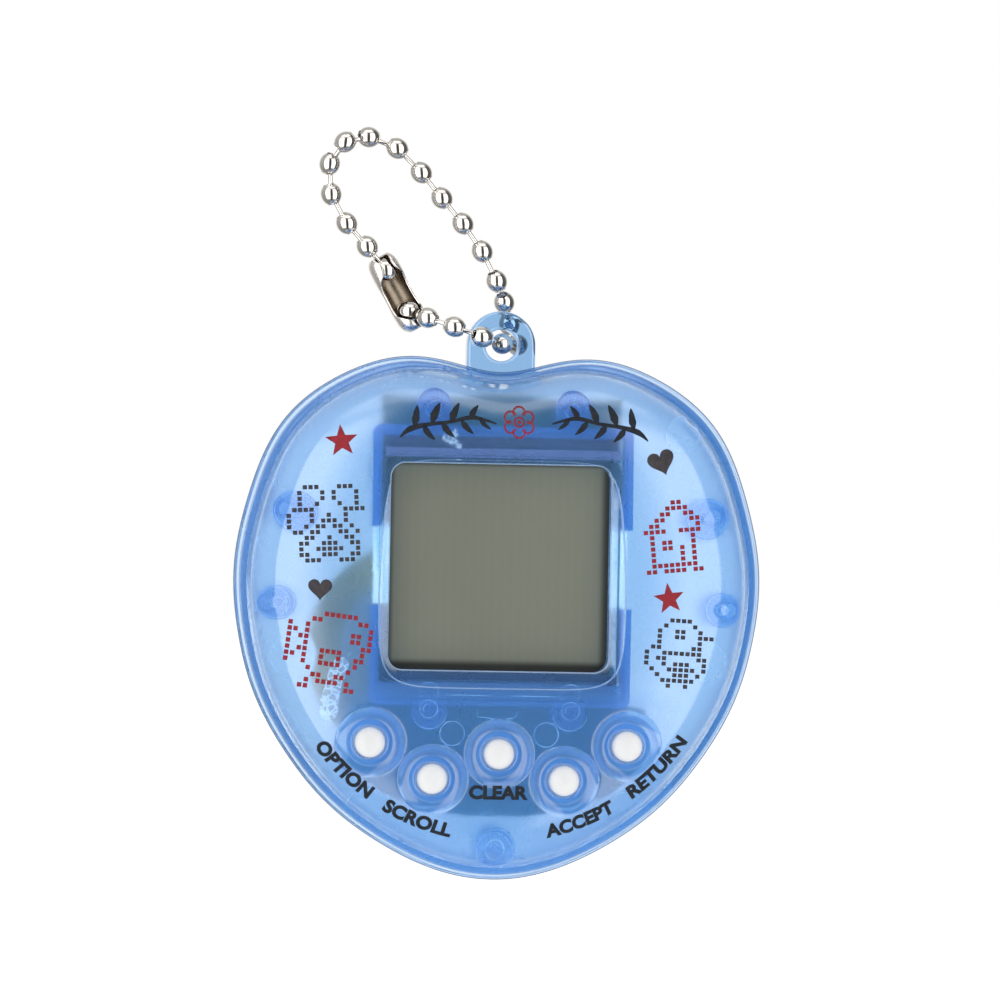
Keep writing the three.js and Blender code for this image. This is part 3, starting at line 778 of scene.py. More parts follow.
def gap_glow_material():
    """Glowing strip beside the screen, with upright streaks: painted light standing in for the
    light that comes through the gaps in the frame.
    """
    mat, graph = new_material("light_gap_painted_glow")
    streaks = graph.noise(scale=1.0, detail=5, roughness=0.6, stretch=(2600, 400, 90))
    base = graph.ramp(streaks, (0.35, (0.42, 0.66, 0.74)), (0.5, (0.74, 0.92, 0.97)),
                      (0.62, (0.98, 1.0, 1.0)))
    glow = graph.ramp(streaks, (0.35, (0.30, 0.52, 0.62)), (0.62, (0.85, 0.97, 1.0)))
    graph.finish(graph.principled(
        Base_Color=base, Roughness=0.35, Emission_Color=glow, Emission_Strength=1.15,
        Normal=graph.bump(streaks, strength=0.4, distance_mm=0.05)))
    return mat


# Pale, faintly glowing lines: painted highlights along the moulded edges inside the case
def highlight_line_material():
    mat, graph = new_material("moulded_edge_painted_highlight")
    patches = graph.noise(scale=700, detail=3)
    base = graph.ramp(patches, (0.35, (0.35, 0.66, 1.0)), (0.65, (0.80, 0.95, 1.0)))
    line = graph.principled(Base_Color=base, Roughness=0.2, Emission_Strength=0.30,
                            Emission_Color=(0.62, 0.88, 1.0, 1))
    strength = graph.remap(patches, over=(0.35, 0.65), to=(0.15, 0.75))
    graph.finish(graph.mix_shader(strength, graph.transparent(), line))
    return mat


def glue_material():
    """Clear crumpled glue over a clear body, its wrinkles bright and faintly glowing as painted
    highlights.
    """
    mat, graph = new_material("clear_glue")
    coords = graph.coords()
    patches = graph.noise(scale=900, detail=3)
    warped = graph.out("ShaderNodeVectorMath", {
        0: patches.node.outputs["Color"], 1: (0.0006, 0.0006, 0.0006), 2: coords},
        operation="MULTIPLY_ADD")
    wrinkle = graph.out("ShaderNodeTexVoronoi", {"Scale": 1500, "Vector": warped}, "Distance",
                        feature="DISTANCE_TO_EDGE")
    # glow on the glue's wrinkles: painted highlight
    glue = graph.principled(
        Base_Color=graph.ramp(patches, (0.35, (0.62, 0.74, 0.90)), (0.6, (0.93, 0.96, 1.0))),
        Roughness=0.15, Emission_Color=(0.90, 0.96, 1.0, 1), Emission_Strength=0.45,
        Normal=graph.bump(wrinkle, strength=0.8, distance_mm=0.15))
    strength = graph.remap(wrinkle, over=(0.0, 0.14), to=(0.92, 0.10))
    graph.finish(graph.mix_shader(strength, graph.transparent(), glue))
    return mat


SHELL = shell_material("shell_blue", tint=(0.715, 0.868, 0.98), density=55.0, frost=0.27,
                       haze=0.13, painted=True)
SHELL_CLEAR = shell_material("shell_blue_polished", tint=(0.39, 0.58, 0.77), density=120,
                             frost=0.05, haze=0.04, ior=1.47)
FRAME_BLUE = shell_material("lcd_frame_blue", tint=(0.72, 0.87, 1.0), density=40, frost=0.15,
                            haze=0.55, haze_colour=(0.23, 0.53, 0.96))
EAR_BLUE = shell_material("lcd_frame_ear_blue", tint=(0.70, 0.87, 1.0), density=40, frost=0.05,
                          haze=0.42, haze_colour=(0.13, 0.43, 0.95))
SOFT = {"Subsurface_Weight": 0.2, "Subsurface_Radius": (0.0006, 0.0006, 0.0006)}
MATT = {"Specular_IOR_Level": 0.12}
# name, colour, roughness, metallic, noise scale, colour variation, bump in mm, extra inputs
PLAIN_TABLE = [
    ("button_white", (0.79, 0.79, 0.785), 0.38, 0.0, 1400, 0.02, 0.006, SOFT),
    ("chain_chrome", (0.78, 0.765, 0.74), 0.085, 1.0, 1500, 0.03, 0.006),
    ("clasp_chrome", (0.90, 0.865, 0.845), 0.27, 1.0, 700, 0.04, 0.02),
    ("clasp_inside", (0.30, 0.255, 0.20), 0.36, 1.0, 500, 0.30, 0.03),
    ("cell_steel", (0.62, 0.63, 0.65), 0.28, 1.0, 500, 0.05),
    ("screw_steel", (0.55, 0.56, 0.58), 0.3, 1.0, 900, 0.08),
    ("contact_brass", (0.78, 0.62, 0.30), 0.28, 1.0, 600, 0.08),
    ("pill_carbon", (0.03, 0.03, 0.032), 0.75, 0.0, 2600, 0.25),
    ("epoxy_black", (0.018, 0.018, 0.02), 0.25, 0.0, 300, 0.2),
    ("can_metal", (0.72, 0.73, 0.75), 0.22, 1.0, 400, 0.05),
    ("capacitor_sleeve", (0.04, 0.06, 0.16), 0.35, 0.0, 300, 0.15),
    ("piezo_ceramic_white", (0.80, 0.79, 0.74), 0.5, 0.0, 700, 0.05),
    ("wire_red", (0.5, 0.03, 0.02), 0.4, 0.0, 500, 0.1),
    ("wire_black", (0.02, 0.02, 0.022), 0.4, 0.0, 500, 0.2),
    ("print_dark", (0.020, 0.024, 0.030), 0.55, 0.0, 1800, 0.3, 0.003, MATT),
    ("print_grey", (0.055, 0.050, 0.055), 0.55, 0.0, 1800, 0.3, 0.003, MATT),
    ("print_red", (0.29, 0.028, 0.036), 0.5, 0.0, 1800, 0.18, 0.003, MATT),
    ("piezo_brass", (0.55, 0.44, 0.20), 0.32, 1.0, 300, 0.12),
    ("zebra_rubber", (0.26, 0.11, 0.28), 0.5, 0.0, 420, 0.35, 0.03),
    ("lcd_edge_purple", (0.44, 0.33, 0.52), 0.35, 0.0, 900, 0.18, 0.02),
    ("lcd_edge_dark", (0.020, 0.030, 0.10), 0.4, 0.0, 900, 0.3, 0.02),
]
PLAIN = {row[0]: plain_material(*row) for row in PLAIN_TABLE}
BOARD = board_material()
LCD = lcd_material()
LCD_GLASS = clear_glass()
GAP_GLOW = gap_glow_material()
PAINTED_EDGE_GLINT = highlight_line_material()
GLUE = glue_material()

# ------------------------------------------------------------------ front half of the case
# Radii and levels of the mesh loops that hold the creases of the height fields
BUTTON_LOOPS = (1.82, 1.95, 2.05, 2.3, 2.42, 2.475, 2.525, 2.7, 2.95, 3.2, 3.475, 3.525, 3.64,
                3.74, 3.95)
FRONT_RIM_LOOPS = (26.47, 26.42, 26.34, 26.2, 26.05, 25.9, 25.7, 25.5, 25.35)
FRONT_INNER_LOOPS = (25.2, 25.12, 25.0, 24.8, 24.55, 24.2, 23.9, 23.5, 23.1, 22.6, 22.0)
# Painted highlights, pale lines along sharp edges: distance or radius, and their strength there
CREASE_HIGHLIGHT = [(-0.02, 0), (0.0, 0.35), (0.07, 1), (0.14, 0.35), (0.16, 0)]
WINDOW_HIGHLIGHT = [(-0.01, 0.2), (0.0, 0.35), (0.06, 0.95), (0.12, 0.3), (0.14, 0)]
RIM_HIGHLIGHT = [(26.15, 0), (26.25, 0.12), (26.36, 0.28), (26.45, 0.12), (26.5, 0.0)]
BUTTON_HIGHLIGHT = [(2.3, 0), (2.42, 0.2), (2.475, 0.3), (2.525, 0.14), (2.7, 0.0), (3.1, 0.0),
               (3.2, 0.07), (3.3, 0.0), (3.525, 0.0), (3.64, 0.16), (3.74, 0.04), (3.9, 0.0)]


def lookup(value, table):
    return np.interp(value, *zip(*table))


def front_openings(x, z):
    is_open = rect_distance(x, z, *WINDOW) < 0
    for cx, cz, _ in BUTTONS:
        is_open |= np.hypot(x - cx, z - cz) < BUTTON_HOLE_R
    return is_open


def front_loops():
    width, height, corner, mid = WINDOW
    loops = [rect_loop(width + 2 * g, height + 2 * g, corner + g, mid)
             for g in (0.0, 0.06, 0.12, 0.18)]
    loops += [resample(recess_outline(g), 0.4) for g in (-0.21, -0.14, -0.07, 0.0, 0.06)]
    width, height, corner, mid = COLLAR
    loops += [rect_loop(width + g, height + g, corner, mid, 0.6) for g in (-0.1, 0.1)]
    for cx, cz, _ in BUTTONS:
        loops += [circle(cx, cz, r, 56) for r in BUTTON_LOOPS]
    for cx, cz, radius in BOSSES:
        radii = (0.3, 0.6, 0.825, 0.875, 1.1, radius - 0.025, radius + 0.025)
        loops += [circle(cx, cz, r, 40) for r in radii]
    for cx, cz, radius in MARKS:
        loops += [circle(cx, cz, r, 40) for r in (radius - 0.04, radius + 0.04)]
    loops += [outline_loop(level) for level in FRONT_RIM_LOOPS]
    loops += [resample(glue_outline(g), 0.35) for g in (-0.03, 0.03)]
    loops += [circle(cx, cz, r, 36) for cx, cz in CLEAR_SPOTS for r in (1.92, 1.98)]
    return loops + [outline_loop(level) for level in (*FRONT_INNER_LOOPS, FRONT_LEVEL)]


def front_frost(x, z, level):
    """Frosting of the inner face, nearly clear at the rim, in the marks and under the glue."""
    frost = 1 - 0.8 * ease((level - 24.3) / 0.8)
    for cx, cz, radius in MARKS:
        frost[np.hypot(x - cx, z - cz) < radius - 0.02] = 0.1
    frost = frost * (1 + 0.55 * ease((z - 16.6) / 1.6))
    frost[in_polygon(x, z, glue_outline(0.0))] = 0.04
    for cx, cz in CLEAR_SPOTS:
        frost[np.hypot(x - cx, z - cz) < CLEAR_SPOT_R] = 0.22
    return frost


def front_highlight_lines(x, z, level):
    """Painted highlights: pale lines where the moulding has a sharp edge."""
    crease = lookup(recess_depth(x, z), CREASE_HIGHLIGHT) * ease((15.3 - z) / 0.6)
    window = lookup(rect_distance(x, z, *WINDOW), WINDOW_HIGHLIGHT)
    highlight_lines = np.maximum(np.maximum(crease, window), lookup(level, RIM_HIGHLIGHT))
    for cx, cz, _ in BUTTONS:
        highlight_lines = np.maximum(highlight_lines, lookup(np.hypot(x - cx, z - cz), BUTTON_HIGHLIGHT))
    return highlight_lines


def front_blue(x, z):
    """Deeper blue round the buttons and bosses and low on the face."""
    blue = np.zeros(len(x))
    for cx, cz, _ in BUTTONS:
        blue = np.maximum(blue, 1 - ease((np.hypot(x - cx, z - cz) - 3.55) / 0.15))
    for cx, cz, radius in BOSSES:
        reach = np.hypot(x - cx, z - cz)
        blue = np.maximum(blue, 0.55 * (1 - ease((reach - radius + 0.05) / 0.15)))
    below_window = ease((-z - 7.2) / 2.4) * ease((19.5 - np.abs(x)) / 4.0)
    return np.maximum(blue, 0.42 * np.maximum(ease((-z - 17.5) / 4.0), below_window))


def build_case_front():
    coords, faces = sheet(front_loops(), grid=0.75, grid_level=26.4, edge_level=FRONT_LEVEL,
                          is_open=front_openings)
    x, z = coords[:, 0], coords[:, 1]
    y_outer, y_inner = FRONT_BASE - front_outer(x, z), INNER_BASE - front_inner(x, z)
    level, none = level_at(x, z), np.zeros(len(x))
    ob = shell("case_front", coords, faces, y_outer, np.maximum(y_inner, y_outer + 0.25), SHELL,
               none, front_frost(x, z, level))
    # pale lines along the sharp edges: painted highlights
    point_attribute(ob.data, "highlight_lines", front_highlight_lines(x, z, level), none)
    blue = front_blue(x, z)
    point_attribute(ob.data, "blue", blue, blue)
    thin = 0.5 * ease((level - 24.5) / 0.7)
    point_attribute(ob.data, "thin", thin, thin)
    fit(ob, "case", "shell_blue", "front_shell")


build_case_front()

# ------------------------------------------------------------------ rear half and keyring tab
REAR_LOOPS = (26.93, 26.86, 26.6, 26.2, 25.8, 25.6, 25.4, 25.1, 24.8, 24.5, 24.42, 24.35, 24.1,
              23.9, 23.85, 23.6, 23.2, 22.6, 22.0, 21.2)
TAB_R, TAB_HOLE_R, TAB_Z, TAB_FOOT_Z = 3.6, 1.65, 28.0, 24.6


def build_case_rear():
    loops = [outline_loop(level) for level in REAR_LOOPS]
    loops += [stadium_loop(r) for r in (6.695, 6.745, 6.025, 6.075, 7.125, 7.175)]
    loops += [circle(0, SCREW_Z, r, 40) for r in (2.655, 2.705, 1.725, 1.775, 0.975, 1.025)]
    for cx, cz, radius in BOSSES:
        radii = (1.125, 1.175, radius - 0.025, radius + 0.025)
        loops += [circle(cx, cz, r, 32) for r in radii]
    loops.append(outline_loop(RIM_LEVEL))
    coords, faces = sheet(loops, grid=1.1, grid_level=26.8, edge_level=RIM_LEVEL)
    x, z = coords[:, 0], coords[:, 1]
    y_outer, y_inner = rear_outer(x, z), rear_inner(x, z)
    none = np.zeros(len(x))
    ob = shell("case_rear", coords, faces, np.minimum(y_inner, y_outer - 0.25), y_outer, SHELL,
               np.ones(len(x)), none)
    level = level_at(x, z)
    thin = 0.5 * ease((level - 24.3) / 0.8)
    point_attribute(ob.data, "thin", thin, thin)
    # painted shade: a dark line along the very outline of the rim
    line = lookup(level, [(26.86, 0.0), (26.93, 0.75), (27.0, 0.9)])
    point_attribute(ob.data, "edge", line, none)
    fit(ob, "case", "shell_blue", "rear_shell")


def build_keyring_tab():
    points = [(-TAB_R, TAB_FOOT_Z), (TAB_R, TAB_FOOT_Z)]
    points += [(TAB_R * math.cos(t), TAB_Z + TAB_R * math.sin(t))
               for t in np.linspace(0, math.pi, 40)]
    ob = extruded("keyring_tab", resample(points, 0.5), -4.2, -6.92, SHELL_CLEAR, 0.42, 5,
                  holes=[circle(0, TAB_Z, TAB_HOLE_R, 48)])
    fit(ob, "case", "shell_blue", "rear_shell")


build_case_rear()
build_keyring_tab()

# ------------------------------------------------------------------ screen, its frame and board
# U-shaped walls: name, outer and inner half-width, outer z, inner z, z of the open end,
# y of the back and of the front, bevel
FRAME_WALLS = [
    ("base_top", 13.6, 12.75, 19.35, 18.2, 8.8, -9.0, -10.15, 0.10),
    ("base_bottom", 13.6, 12.75, -9.75, -8.4, 0.6, -9.0, -10.15, 0.10),
    ("top_wall", 13.6, 13.02, 19.35, 18.75, 8.8, -10.2, -13.1, 0.10),
    ("bottom_wall", 13.6, 13.02, -9.75, -9.2, 0.6, -10.2, -13.1, 0.10),
    ("top_ledge", 12.95, 12.62, 18.7, 18.28, 8.9, -10.2, -12.2, 0.06),
]
# x, z, distance of the tip in front of y = 0
FRAME_EARS = [(-7.25, -10.47, 12.7), (7.25, -10.47, 12.7), (-7.3, 21.1, 12.3), (7.3, 21.1, 12.3)]
# Right half of the board's outline, from the top down
HALF_BOARD = [(12.5, 22.2), (12.5, 9.2), (11.1, 8.9), (11.1, 0.5), (12.5, 0.2), (12.5, -9.4),
              (15.6, -9.9), (16.2, -12.6), (15.4, -16.0), (12.2, -18.8), (8, -20.6), (3, -21.3)]


def half_ring(outer, inner, outer_z, inner_z, end_z):
    """U-shaped wall between two half-widths, with rounded outer corners."""
    sign = 1 if outer_z > end_z else -1
    corner = 0.9
    turn = [(corner * math.sin(t), corner * math.cos(t)) for t in np.linspace(0, math.pi / 2, 6)]
    points = [(-outer, end_z)]
    points += [(-outer + corner - c, outer_z - sign * (corner - s)) for s, c in turn]
    points += [(outer - corner + s, outer_z - sign * (corner - c)) for s, c in turn]
    points += [(outer, end_z), (inner, end_z), (inner, inner_z), (-inner, inner_z),
               (-inner, end_z)]
    return resample(points, 1.0)


def frame_piece(name, loop, y_back, y_front, edge):
    """Part of the screen frame, its front kept behind the face of the case."""
    ob = extruded(f"lcd_frame_{name}", loop, y_back, y_front, FRAME_BLUE)
    for vert in ob.data.vertices:
        if vert.co.y * 1000 < (y_back + y_front) / 2:
            limit = behind_face(vert.co.x * 1000, vert.co.z * 1000, 0.3)
            vert.co.y = max(vert.co.y, limit * MM)
    moulded_bevel(ob, edge, 3)
    fit(ob, "case", "shell_blue", "lcd_frame")


def build_frame():
    for name, *shape, y_back, y_front, edge in FRAME_WALLS:
        frame_piece(name, half_ring(*shape), y_back, y_front, edge)
    frame_piece("bottom_bar", box_loop(-12.9, 12.9, -9.12, -7.4), -10.2, -12.9, 0.25)
    for side, sign in SIDES:
        post = box_loop(sign * 12.62, sign * 12.95, -7.3, 0.5)
        frame_piece(f"post_{side}", post, -10.2, -12.2, 0.06)
    for i, (x, z, tip) in enumerate(FRAME_EARS, 1):
        profile = [(0, 9.0), (1.85, 9.0), (1.85, tip - 0.5), (1.75, tip - 0.3),
                   (1.2, tip - 0.28), (1.05, tip - 0.4), (0.98, tip - 0.4), (0.92, tip - 0.1),
                   (0.8, tip), (0.6, tip), (0.5, tip - 0.12), (0.42, tip - 0.5), (0, tip - 0.55)]
        ear = lathe(f"lcd_frame_ear_{i}", profile, EAR_BLUE, at=(x, 0, z), segments=40)
        fit(ear, "case", "shell_blue", "lcd_frame")


def build_screen():
    # glowing strips beside the screen: painted light coming through the gaps in the frame
    for side, sign in SIDES:
        loop = box_loop(sign * 11.3, sign * 13.3, 0.75, 8.65, 0.8)
        strip = extruded(f"light_gap_{side}", loop, -10.25, -10.6, GAP_GLOW, 0.05, 2)
        fit(strip, "case", "shell_blue")
    panel = extruded("lcd_panel", rect_loop(*SCREEN, 1.0), -12.08, -12.25, LCD, 0.04, 2)
    fit(panel, "case", "lcd_film", "lcd_front_polarizer", "lcd_reflector")
    for name, z0, z1, mat in (("lcd_tinted_edge", 16.05, 17.05, "lcd_edge_purple"),
                              ("lcd_tinted_edge_low", -6.5, -7.3, "lcd_edge_dark")):
        strip = extruded(name, box_loop(-12.3, 12.3, z0, z1), -12.07, -12.12, PLAIN[mat])
        fit(strip, "case", "lcd_film")


def build_board():
    loop = resample(HALF_BOARD + [(-x, z) for x, z in HALF_BOARD[::-1]], 1.2)
    board = extruded("main_board", loop, -8.0, -8.9, BOARD, 0.05, 2)
    fit(board, "case", "board_green", "circuit_board")


build_frame()
build_screen()
build_board()

# Pieces kept as they are in the frame: material, whether bevelled, names
KEPT_PIECES = [
    (LCD_GLASS, True, ["lcd_front_glass", "lcd_rear_glass"]),
    (PLAIN["zebra_rubber"], True, ["zebra_strip_upper", "zebra_strip_lower"]),
    (PLAIN["epoxy_black"], False, ["chip_blob"]),
    (PLAIN["can_metal"], False, ["crystal_can"]),
    (PLAIN["capacitor_sleeve"], False, ["capacitor"]),
    (PLAIN["contact_brass"], True,
     ["battery_strap", "battery_contact_left", "battery_contact_right"]),
    (PLAIN["piezo_brass"], False, ["piezo_plate"]),
    (PLAIN["piezo_ceramic_white"], False, ["piezo_ceramic"]),
    (PLAIN["wire_red"], False, ["piezo_wire_ceramic"]),
    (PLAIN["wire_black"], False, ["piezo_wire_plate"]),
    (PLAIN["pill_carbon"], False, [f"button_pill_{i}" for i in range(1, 6)]),
]
for mat, bevelled, names in KEPT_PIECES:
    for name in names:
        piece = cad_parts[name]
        piece.data.materials.clear()
        piece.data.materials.append(mat)
        if bevelled:
            bevel(piece, 0.06, 2)


# ------------------------------------------------------------------ buttons
def build_button(i, x, z, face):
    """White cap with a flange and a domed top."""
    top = face - FRONT_BASE
    profile = [(0, 10.45), (1.5, 10.45), (1.6, 10.55), (1.6, top - 2.8), (2.2, top - 2.75),
               (2.3, top - 2.65), (2.3, top - 2.3), (2.2, top - 2.2), (1.62, top - 2.15),
               (1.575, top - 2.05), (1.575, top - 0.62)]
    profile += [(1.575 * math.cos(t), top - 0.62 + 0.7 * math.sin(t))
                for t in np.linspace(0.12, math.pi / 2 - 0.06, 12)]
    profile.append((0, top + 0.08))
    cap = lathe(f"button_cap_{i}", profile, PLAIN["button_white"], at=(x, 0, z), segments=56,
                angle=50)
    fit(cap, f"button_{i}", "button_white", f"button_{i}")


for i, button in enumerate(BUTTONS, 1):
    build_button(i, *button)

# ------------------------------------------------------------------ battery door, screw, cells
DOOR_R, DOOR_LOBE_R, DOOR_HOLE_R = 6.45, 2.4, 1.0
GRIP_Z = (16.6, 17.5, 18.4)
# (radius, distance in front of y = 0)
CELL_PROFILE = [(0, 1.5), (4.6, 1.5), (5.5, 1.52), (5.7, 1.6), (5.8, 1.8), (5.8, 5.3),
                (5.68, 5.62), (5.4, 5.82), (5.05, 5.9), (4.85, 6.0), (4.8, 6.6), (4.6, 6.85),
                (4.2, 6.9), (0, 6.9)]
SCREW_TIP = [(0, 4.6), (0.25, 4.5), (0.62, 3.9)]
SCREW_THREAD = [(0.62 + 0.12 * (j % 2), 3.9 - 0.22 * j) for j in range(1, 15)]
SCREW_HEAD = [(0.7, 0.66), (1.35, 0.62), (1.45, 0.5), (1.42, 0.25), (1.2, 0.14), (0, 0.12)]


def build_door():
    """Door over both cells with a round lobe for the screw, and three grip ribs."""
    loop = [(x, z) for x, z in stadium_loop(DOOR_R, 30)
            if math.hypot(x, z - SCREW_Z) > DOOR_LOBE_R]
    loop += [(x, z) for x, z in circle(0, SCREW_Z, DOOR_LOBE_R, 40)
             if stadium_distance(x, z, DOOR_R) > 0]
    loop.sort(key=lambda point: math.atan2(point[1] - (CELL_Z - 3.0), point[0]))
    door = extruded("battery_door_cover", loop, -0.1, -1.12, SHELL_CLEAR, 0.14,
                    holes=[circle(0, SCREW_Z, DOOR_HOLE_R, 32)])
    fit(door, "battery_door", "shell_blue", "battery_door")
    for k, z in enumerate(GRIP_Z, 1):
        loop = box_loop(-4.2, 4.2, z - 0.22, z + 0.22, 0.8)
        rib = extruded(f"battery_door_grip_{k}", loop, 0.0, -0.12, SHELL_CLEAR, 0.045, 2)
        fit(rib, "battery_door", "shell_blue")


def build_screw():
    """Screw with a cross cut into its head."""
    screw = lathe("battery_door_screw_head", SCREW_TIP + SCREW_THREAD + SCREW_HEAD,
                  PLAIN["screw_steel"], at=(0, 0, SCREW_Z), segments=40)
    cutter = bmesh.new()
    for turn in (45, 135):
        verts = bmesh.ops.create_cube(cutter, size=1.0)["verts"]
        bmesh.ops.scale(cutter, verts=verts, vec=(1.9 * MM, 0.9 * MM, 0.32 * MM))
        bmesh.ops.rotate(cutter, verts=verts, cent=(0, 0, 0),
                         matrix=Matrix.Rotation(math.radians(turn), 3, "Y"))
        bmesh.ops.translate(cutter, verts=verts, vec=(0, 0, SCREW_Z * MM))
    cross = link(mesh_from(cutter, "cross"), "cross")
    cut = screw.modifiers.new("cross", "BOOLEAN")
    cut.operation = "DIFFERENCE"
    cut.object = cross
    cut.solver = "EXACT"
    cut.use_self = True
    depsgraph = bpy.context.evaluated_depsgraph_get()
    result = bpy.data.meshes.new_from_object(screw.evaluated_get(depsgraph))
    screw.modifiers.clear()
    screw.data = result
    bpy.data.objects.remove(cross)
    fit(screw, "battery_door_screw", "screw_steel", "battery_door_screw")


build_door()
build_screw()
for side, sign in SIDES:
    cell = lathe(f"button_cell_can_{side}", CELL_PROFILE, PLAIN["cell_steel"],
                 at=(sign * CELL_X, 0, CELL_Z), segments=72)
    fit(cell, "case", "cell_steel", f"button_cell_{side}")

# ------------------------------------------------------------------ ball chain
# Bead centres in order: 1 and 21 sit in the clasp
BEADS = [(-12.23, -5.4, 35.72), (-14.24, -5.5, 38.12), (-16.45, -5.6, 40.52),
         (-18.15, -5.7, 43.54), (-18.38, -5.9, 46.71), (-16.85, -7.0, 48.98),
         (-14.31, -5.8, 49.6), (-11.29, -5.7, 48.49), (-8.71, -5.6, 46.01),
         (-6.48, -5.5, 43.39), (-4.21, -5.4, 40.75), (-2.1, -5.2, 37.88),
         (-0.49, -4.9, 34.78), (0.49, -3.1, 32.6), (1.15, -1.25, 30.35),
         (1.95, -2.85, 28.15), (0.15, -5.6, 28.2), (-2.15, -8.25, 28.8),
         (-5.09, -8.1, 29.83), (-7.88, -7.3, 30.74), (-9.75, -5.4, 31.4)]
BEAD_HALF_LENGTH, BEAD_RADIUS, BEAD_HOLE = 1.20, 1.11, 0.56
BARE_BEAD = 17      # the links run towards this bead from both ends


def bead_profile():
    """Hollow bead, slightly longer than wide, its ends rolled in to small raised mouths."""
    length, width, start = BEAD_HALF_LENGTH, BEAD_RADIUS, 0.62
    side = [(width * math.sin(t) ** 0.94, -length * math.cos(t))
            for t in np.linspace(start, math.pi - start, 25)]
    radius, end = side[0]
    mouth = [(BEAD_HOLE + 0.10, -length * 0.70), (BEAD_HOLE - 0.02, -length * 0.80),
             (BEAD_HOLE - 0.02, end - 0.05), (BEAD_HOLE + 0.03, end - 0.10),
             (radius - 0.04, end - 0.07), (radius + 0.01, end - 0.02)]
    lining = [(0.88 * width * math.sin(t), 0.86 * length * math.cos(t))
              for t in np.linspace(0.75, math.pi - 0.75, 9)]
    return mouth + side + [(r, -along) for r, along in mouth[::-1]] + lining


def build_bead(n):
    """Bead n and the headed wire that reaches into the next bead."""
    centre = Vector(BEADS[n - 1])
    before, after = Vector(BEADS[max(0, n - 2)]), Vector(BEADS[min(20, n)])
    mat = PLAIN["chain_chrome"]
    parts = [lathe(f"bead_{n}", bead_profile(), mat, at=centre, axis=(after - before).normalized(),
                   segments=36, closed=True, angle=60)]
    if n != BARE_BEAD:
        reach = (after if n < BARE_BEAD else before) - centre
        start, end = 0.55, reach.length - 1.0
        wire = [(0, start - 0.25), (0.3, start - 0.2), (0.42, start), (0.32, start + 0.2),
                (0.25, start + 0.4), (0.24, reach.length / 2), (0.24, end - 0.25),
                (0.28, end - 0.08), (0.2, end), (0, end)]
        parts.append(lathe(f"wire_{n}", wire, mat, at=centre, axis=reach, segments=18, angle=60))
    ob = smooth(join(parts, f"ball_link_{n:02d}"), 60)
    bead = f"chain_bead_{n:02d}"
    fit(ob, "clasp" if n == 1 else bead, "chain_chrome", bead)


for n in range(1, 22):
    build_bead(n)

# ------------------------------------------------------------------ clasp
CLASP_TOP, CLASP_BOTTOM = Vector((-13.0, -5.4, 36.98)), Vector((-8.81, -5.4, 29.66))
CLASP_TURN = 14     # degrees the opening is turned from the front towards +X
# Both curves run from -1 at the upper end to 1 at the lower end
CLASP_RADIUS = Curve([(-1.0, 1.0), (-0.95, 1.22), (-0.86, 1.42), (-0.72, 1.52), (-0.5, 1.55),
                      (0, 1.50), (0.5, 1.55), (0.72, 1.50), (0.86, 1.34), (0.95, 1.02),
                      (1.0, 0.74)])
# half-angle of the opening, degrees
CLASP_OPENING = Curve([(-1.0, 52), (-0.86, 30), (-0.72, 25), (-0.56, 36), (-0.36, 70),
                       (-0.1, 86), (0.25, 88), (0.46, 80), (0.64, 46), (0.8, 17), (0.9, 11),
                       (1.0, 8)])


def build_clasp():
    """One sheet rolled round both end beads, open along one side."""
    along = (CLASP_TOP - CLASP_BOTTOM).normalized()
    side = along.cross(Vector((0, -1, 0))).normalized()
    turn = math.radians(CLASP_TURN)
    outward = (Vector((0, -1, 0)) * math.cos(turn) + side * math.sin(turn)).normalized()
    across = along.cross(outward).normalized()
    half = (CLASP_TOP - CLASP_BOTTOM).length / 2
    middle = (CLASP_TOP + CLASP_BOTTOM) / 2
    rows, columns = 96, 44
    verts, faces = [], []
    for i in range(rows + 1):
        height = -1 + 2 * i / rows
        radius = float(CLASP_RADIUS(-height))
        opening = math.radians(float(CLASP_OPENING(-height)))
        for j in range(columns + 1):
            angle = opening + (2 * math.pi - 2 * opening) * j / columns
            reach = radius - 0.10 * math.exp(-min(j, columns - j) / 2.0)    # lips curl inwards
            verts.append(middle + along * (height * half) + outward * (reach * math.cos(angle))
                         + across * (reach * math.sin(angle)))
    for i in range(rows):
        for j in range(columns):
            a = i * (columns + 1) + j
            faces.append((a, a + 1, a + columns + 2, a + columns + 1))
    mesh = bpy.data.meshes.new("clasp_sleeve")
    mesh.from_pydata([tuple(v * MM) for v in verts], [], faces)
    clasp = smooth(link(mesh, "clasp_sleeve", [PLAIN["clasp_chrome"]]), 70)
    solid = clasp.modifiers.new("sheet", "SOLIDIFY")
    solid.thickness = 0.22 * MM
    solid.offset = 0
    solid.material_offset = 1
    solid.material_offset_rim = 0
    mesh.materials.append(PLAIN["clasp_inside"])
    bevel(clasp, 0.05, 2, angle_limit=math.radians(60))
    fit(clasp, "clasp", "clasp_chrome", "clasp")


build_clasp()

